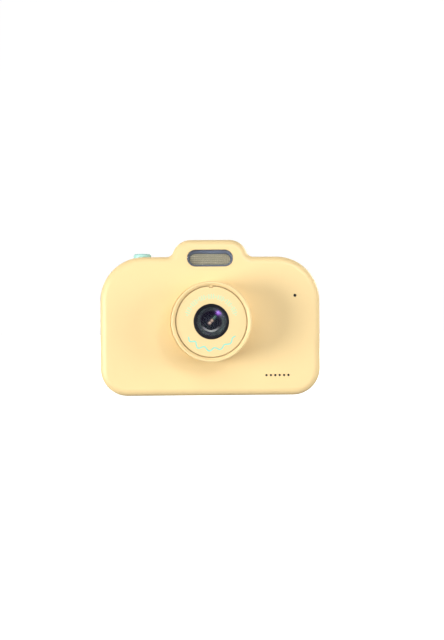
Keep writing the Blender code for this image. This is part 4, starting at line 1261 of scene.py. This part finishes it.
class CAMERA_OT_screws(bpy.types.Operator):
    """Builds the case screws and board screws with cross recesses and turned threads"""

    bl_idname = "camera.screws"
    bl_label = "Screws"

    def execute(self, context):
        steel = metal("screw_zinc", (0.50, 0.50, 0.53), 0.3)
        for node in (*SHELL_SCREWS, *BOARD_SCREWS):
            low, high = span(node)
            head = 1.4 * MM if node in SHELL_SCREWS else 1.2 * MM
            under, radius, soft = high.y - head, (high.x - low.x) / 2, 0.6 * MM
            shank, root, pitch = 0.78 * MM, 0.56 * MM, 0.6 * MM
            profile = [(0, low.y), (0.25 * MM, low.y + 0.1 * MM)]
            for i in range(int((under - low.y - 1.4 * MM) / pitch)):
                y = low.y + 0.5 * MM + pitch * i
                profile += [(root, y), (shank, y + 0.25 * MM), (root, y + 0.5 * MM)]
            profile += [(shank, under - 0.3 * MM), (shank, under), (radius, under)]
            profile += arc((radius - soft, high.y - soft), soft, 0, 90, 6) + [(0, high.y)]
            screw = turned(profile, 40, closed=False)
            for turn in (0, 90):
                screw = worked(screw, self.arm(high.y, turn))
            piece(f"{node}_finished", moved(screw, across(node)), steel, node, "screw_steel", sharp=35)
        return {"FINISHED"}

    def arm(self, face, turn):
        """One arm of the cross recess, narrowing with its depth."""
        floor, mouth = oblong(0.24 * MM, 1.0 * MM, 0.1 * MM, 2), oblong(0.42 * MM, 2.0 * MM, 0.15 * MM, 2)
        return spun(loft([(floor, face - 0.75 * MM), (mouth, face + 0.2 * MM)]), turn, "Y")


class CAMERA_OT_hidden_pieces(bpy.types.Operator):
    """Gives the pieces inside the casings, and the sockets behind the port cover, their finishes"""

    bl_idname = "camera.hidden_pieces"
    bl_label = "Hidden pieces"

    def execute(self, context):
        frame_black = dark_gloss("frame_black", context.scene.camera_colours.black, 0.4)
        socket_plate = metal("socket_plate", (0.66, 0.66, 0.68), 0.26, (0.1, 1.0, 1.0))
        finishes = {
            circuit_board("board_green"): ("main_board", "flash_board", "sensor_board"),
            resin_package("chip_resin"): ("processor_chip", "memory_chip", "lcd_panel", "shutter_switch"),
            dark_gloss("stop_black", (0.004, 0.005, 0.006), 0.5, 0.1): ("iris_plate", "lens_tube"),
            frame_black: ("sensor_housing", "shutter_plunger", "lcd_frame", "speaker"),
            open_foam("pad_foam"): ("battery_pad", "speaker_gasket", "microphone_boot", "screen_gasket"),
            polyimide("amber_flex"): ("sensor_flex", "lcd_flex"),
            socket_plate: ("usb_socket", "card_socket", "microphone"),
            crinkled_foil("cell_foil"): ("battery_cell",),
            soft_rubber("mat_silicone", (0.70, 0.71, 0.69)): ("key_mat",),
            soft_rubber("lead_red", (0.50, 0.012, 0.012), 0.4): ("battery_lead_red",),
            soft_rubber("lead_black", (0.012, 0.012, 0.013), 0.4): ("battery_lead_black",),
            moulded_plastic("connector_white", (0.74, 0.72, 0.66), 0.45): ("battery_connector",),
            lens_glass("filter_red", (1.0, 0.35, 0.35)): ("ir_filter",),
            dark_gloss("sensor_face", (0.035, 0.022, 0.050), 0.12): ("image_sensor",),
        }
        for finish, nodes in finishes.items():
            for node in nodes:
                dress(node, finish)
        self.contacts()
        return {"FINISHED"}

    def contacts(self):
        """Gold contacts on the tongue of the larger socket."""
        at, high = middle("usb_socket"), span("usb_socket")[1]
        left, right, count, pitch = high.x - 3.6 * MM, high.x - 0.9 * MM, 8, 0.75 * MM
        strips = []
        for i in range(count):
            for side in (-1, 1):
                centre = at + Vector((0, side * 0.36 * MM, (i - (count - 1) / 2) * pitch))
                strips.append(bar_shape(left, right, centre, 0.03 * MM, 0.2 * MM))
        gold = metal("contact_gold", (0.83, 0.60, 0.22), 0.22)
        piece("socket_contacts", gathered(strips), gold, None, "silver_metal", sharp=30)


class CAMERA_OT_studio(bpy.types.Operator):
    """Sets the pale floor, the white surround, the soft lights and the camera"""

    bl_idname = "camera.studio"
    bl_label = "Studio"

    def execute(self, context):
        s = context.scene.studio
        context.scene.view_settings.view_transform = "Standard"
        self.surround(context, s)
        upper_right = (0.32, -0.78, 0.38)
        dull = ("glossy", "transmission")
        # The name, place, size and power of each lamp, and the rays that don't see it.
        lamps = (
            ("key_left", (-0.74, -0.43, -0.02), 0.40, s.key, ()),
            ("spot_upper_right", upper_right, 0.3, s.spot, dull),
            ("glass_glint", upper_right, 0.18, s.glint, ("diffuse",)),
            ("under_soft", (0.40, -0.33, -0.78), 0.8, s.under, dull),
            ("fill_front", (-0.15, -0.95, 0.62), 0.9, s.fill, dull),
            ("side_right", (0.88, -0.45, 0.15), 0.5, s.side, dull),
            ("back_soft", (-0.25, 0.95, 0.80), 0.9, s.back, dull),
            ("back_key", (0.62, 0.72, 0.30), 0.34, s.back_key, ()),
        )
        for lamp in lamps:
            self.light(*lamp)
        self.camera(context, s)
        return {"FINISHED"}

    def surround(self, context, s):
        """A floor and a far white sphere that glow evenly and throw no light of their own on the camera."""
        world = bpy.data.worlds.new("soft_room")
        context.scene.world = world
        world.use_nodes = True
        room = world.node_tree.nodes["Background"]
        room.inputs["Color"].default_value = (1.0, 1.0, 1.0, 1.0)
        room.inputs["Strength"].default_value = s.ambient
        radius, margin = 2.6, 0.02
        sphere = bmesh.new()
        bmesh.ops.create_icosphere(sphere, subdivisions=4, radius=radius)
        self.stage("white_surround", sphere, 0.0)
        floor = bmesh.new()
        bmesh.ops.create_circle(floor, cap_ends=True, segments=96, radius=radius - margin)
        self.stage("pale_floor", moved(floor, (0, 0, -0.05 * MM)), 0.5)

    def stage(self, name, shape, albedo):
        mesh = bpy.data.meshes.new(name)
        shape.to_mesh(mesh)
        shape.free()
        finish = Finish(name, Roughness=0.9, Emission_Strength=1.0)
        cloud = finish.noise(400 * MM, 2.0)
        finish.set(Base_Color=finish.mix(cloud, (albedo,) * 3, (albedo * 1.02,) * 3))
        finish.set(Emission_Color=finish.mix(cloud, (1.0, 1.0, 1.0), (1.02, 1.02, 1.02)))
        mesh.materials.append(finish.material)
        obj = bpy.data.objects.new(name, mesh)
        bpy.context.scene.collection.objects.link(obj)
        obj.visible_diffuse = obj.visible_glossy = obj.visible_transmission = obj.visible_shadow = False

    def light(self, name, place, size, power, unseen):
        """A round lamp that points at the lens."""
        data = bpy.data.lights.new(name, "AREA")
        data.shape = "DISK"
        data.size = size
        data.energy = power
        lamp = bpy.data.objects.new(name, data)
        lamp.location = Vector(place)
        lamp.rotation_mode = "QUATERNION"
        lamp.rotation_quaternion = (Vector(ON_LENS) - lamp.location).to_track_quat("-Z", "Y")
        for rays in ("camera", *unseen):
            setattr(lamp, f"visible_{rays}", False)
        bpy.context.scene.collection.objects.link(lamp)

    def camera(self, context, s):
        data = bpy.data.cameras.new("front_view")
        data.lens = s.focal
        data.sensor_width = 36
        data.clip_start, data.clip_end = 0.01, 10
        camera = bpy.data.objects.new("front_view", data)
        widest = FRONT_LOW.y + context.scene.casing_shape.edge
        out = Vector((-math.sin(s.yaw), -math.cos(s.yaw), 0)) * s.distance
        aim = Vector((0, widest, s.eye))
        camera.location = aim + out
        camera.rotation_mode = "QUATERNION"
        look = aim + Vector((s.aside, 0, 0)) - camera.location
        spin = Matrix.Rotation(s.roll, 3, look.normalized())
        camera.rotation_quaternion = spin.to_quaternion() @ look.to_track_quat("-Z", "Y")
        context.scene.collection.objects.link(camera)
        context.scene.camera = camera


class CAMERA_PT_looks(bpy.types.Panel):
    """Shows the settings, and the steps that build the looks in their order"""

    bl_idname = "CAMERA_PT_looks"
    bl_label = "Kids Camera"
    bl_space_type = "VIEW_3D"
    bl_region_type = "UI"
    bl_category = "Kids Camera"

    def draw(self, context):
        for group in ("casing_shape", "lens_shape", "camera_colours", "surfaces", "studio"):
            settings = getattr(context.scene, group)
            for name in settings.__annotations__:
                self.layout.prop(settings, name)
        for operator in STEPS:
            self.layout.operator(operator.bl_idname)


SETTINGS = {
    "casing_shape": CasingShape,
    "lens_shape": LensShape,
    "camera_colours": Colours,
    "surfaces": Surfaces,
    "studio": Studio,
}
STEPS = (
    CAMERA_OT_studio,
    CAMERA_OT_front_casing,
    CAMERA_OT_rear_casing,
    CAMERA_OT_lens_barrel,
    CAMERA_OT_trim_disc,
    CAMERA_OT_lens_optics,
    CAMERA_OT_flash,
    CAMERA_OT_shutter_button,
    CAMERA_OT_rear_keys,
    CAMERA_OT_screen,
    CAMERA_OT_side_fittings,
    CAMERA_OT_screws,
    CAMERA_OT_hidden_pieces,
)


def register():
    for group in (*SETTINGS.values(), *STEPS, CAMERA_PT_looks):
        bpy.utils.register_class(group)
    for name, group in SETTINGS.items():
        setattr(bpy.types.Scene, name, bpy.props.PointerProperty(type=group))


def unregister():
    for name in SETTINGS:
        delattr(bpy.types.Scene, name)
    for group in (CAMERA_PT_looks, *reversed(STEPS), *SETTINGS.values()):
        bpy.utils.unregister_class(group)


def main():
    register()
    for step in STEPS:
        family, action = step.bl_idname.split(".")
        getattr(getattr(bpy.ops, family), action)()


if __name__ == "__main__":
    main()
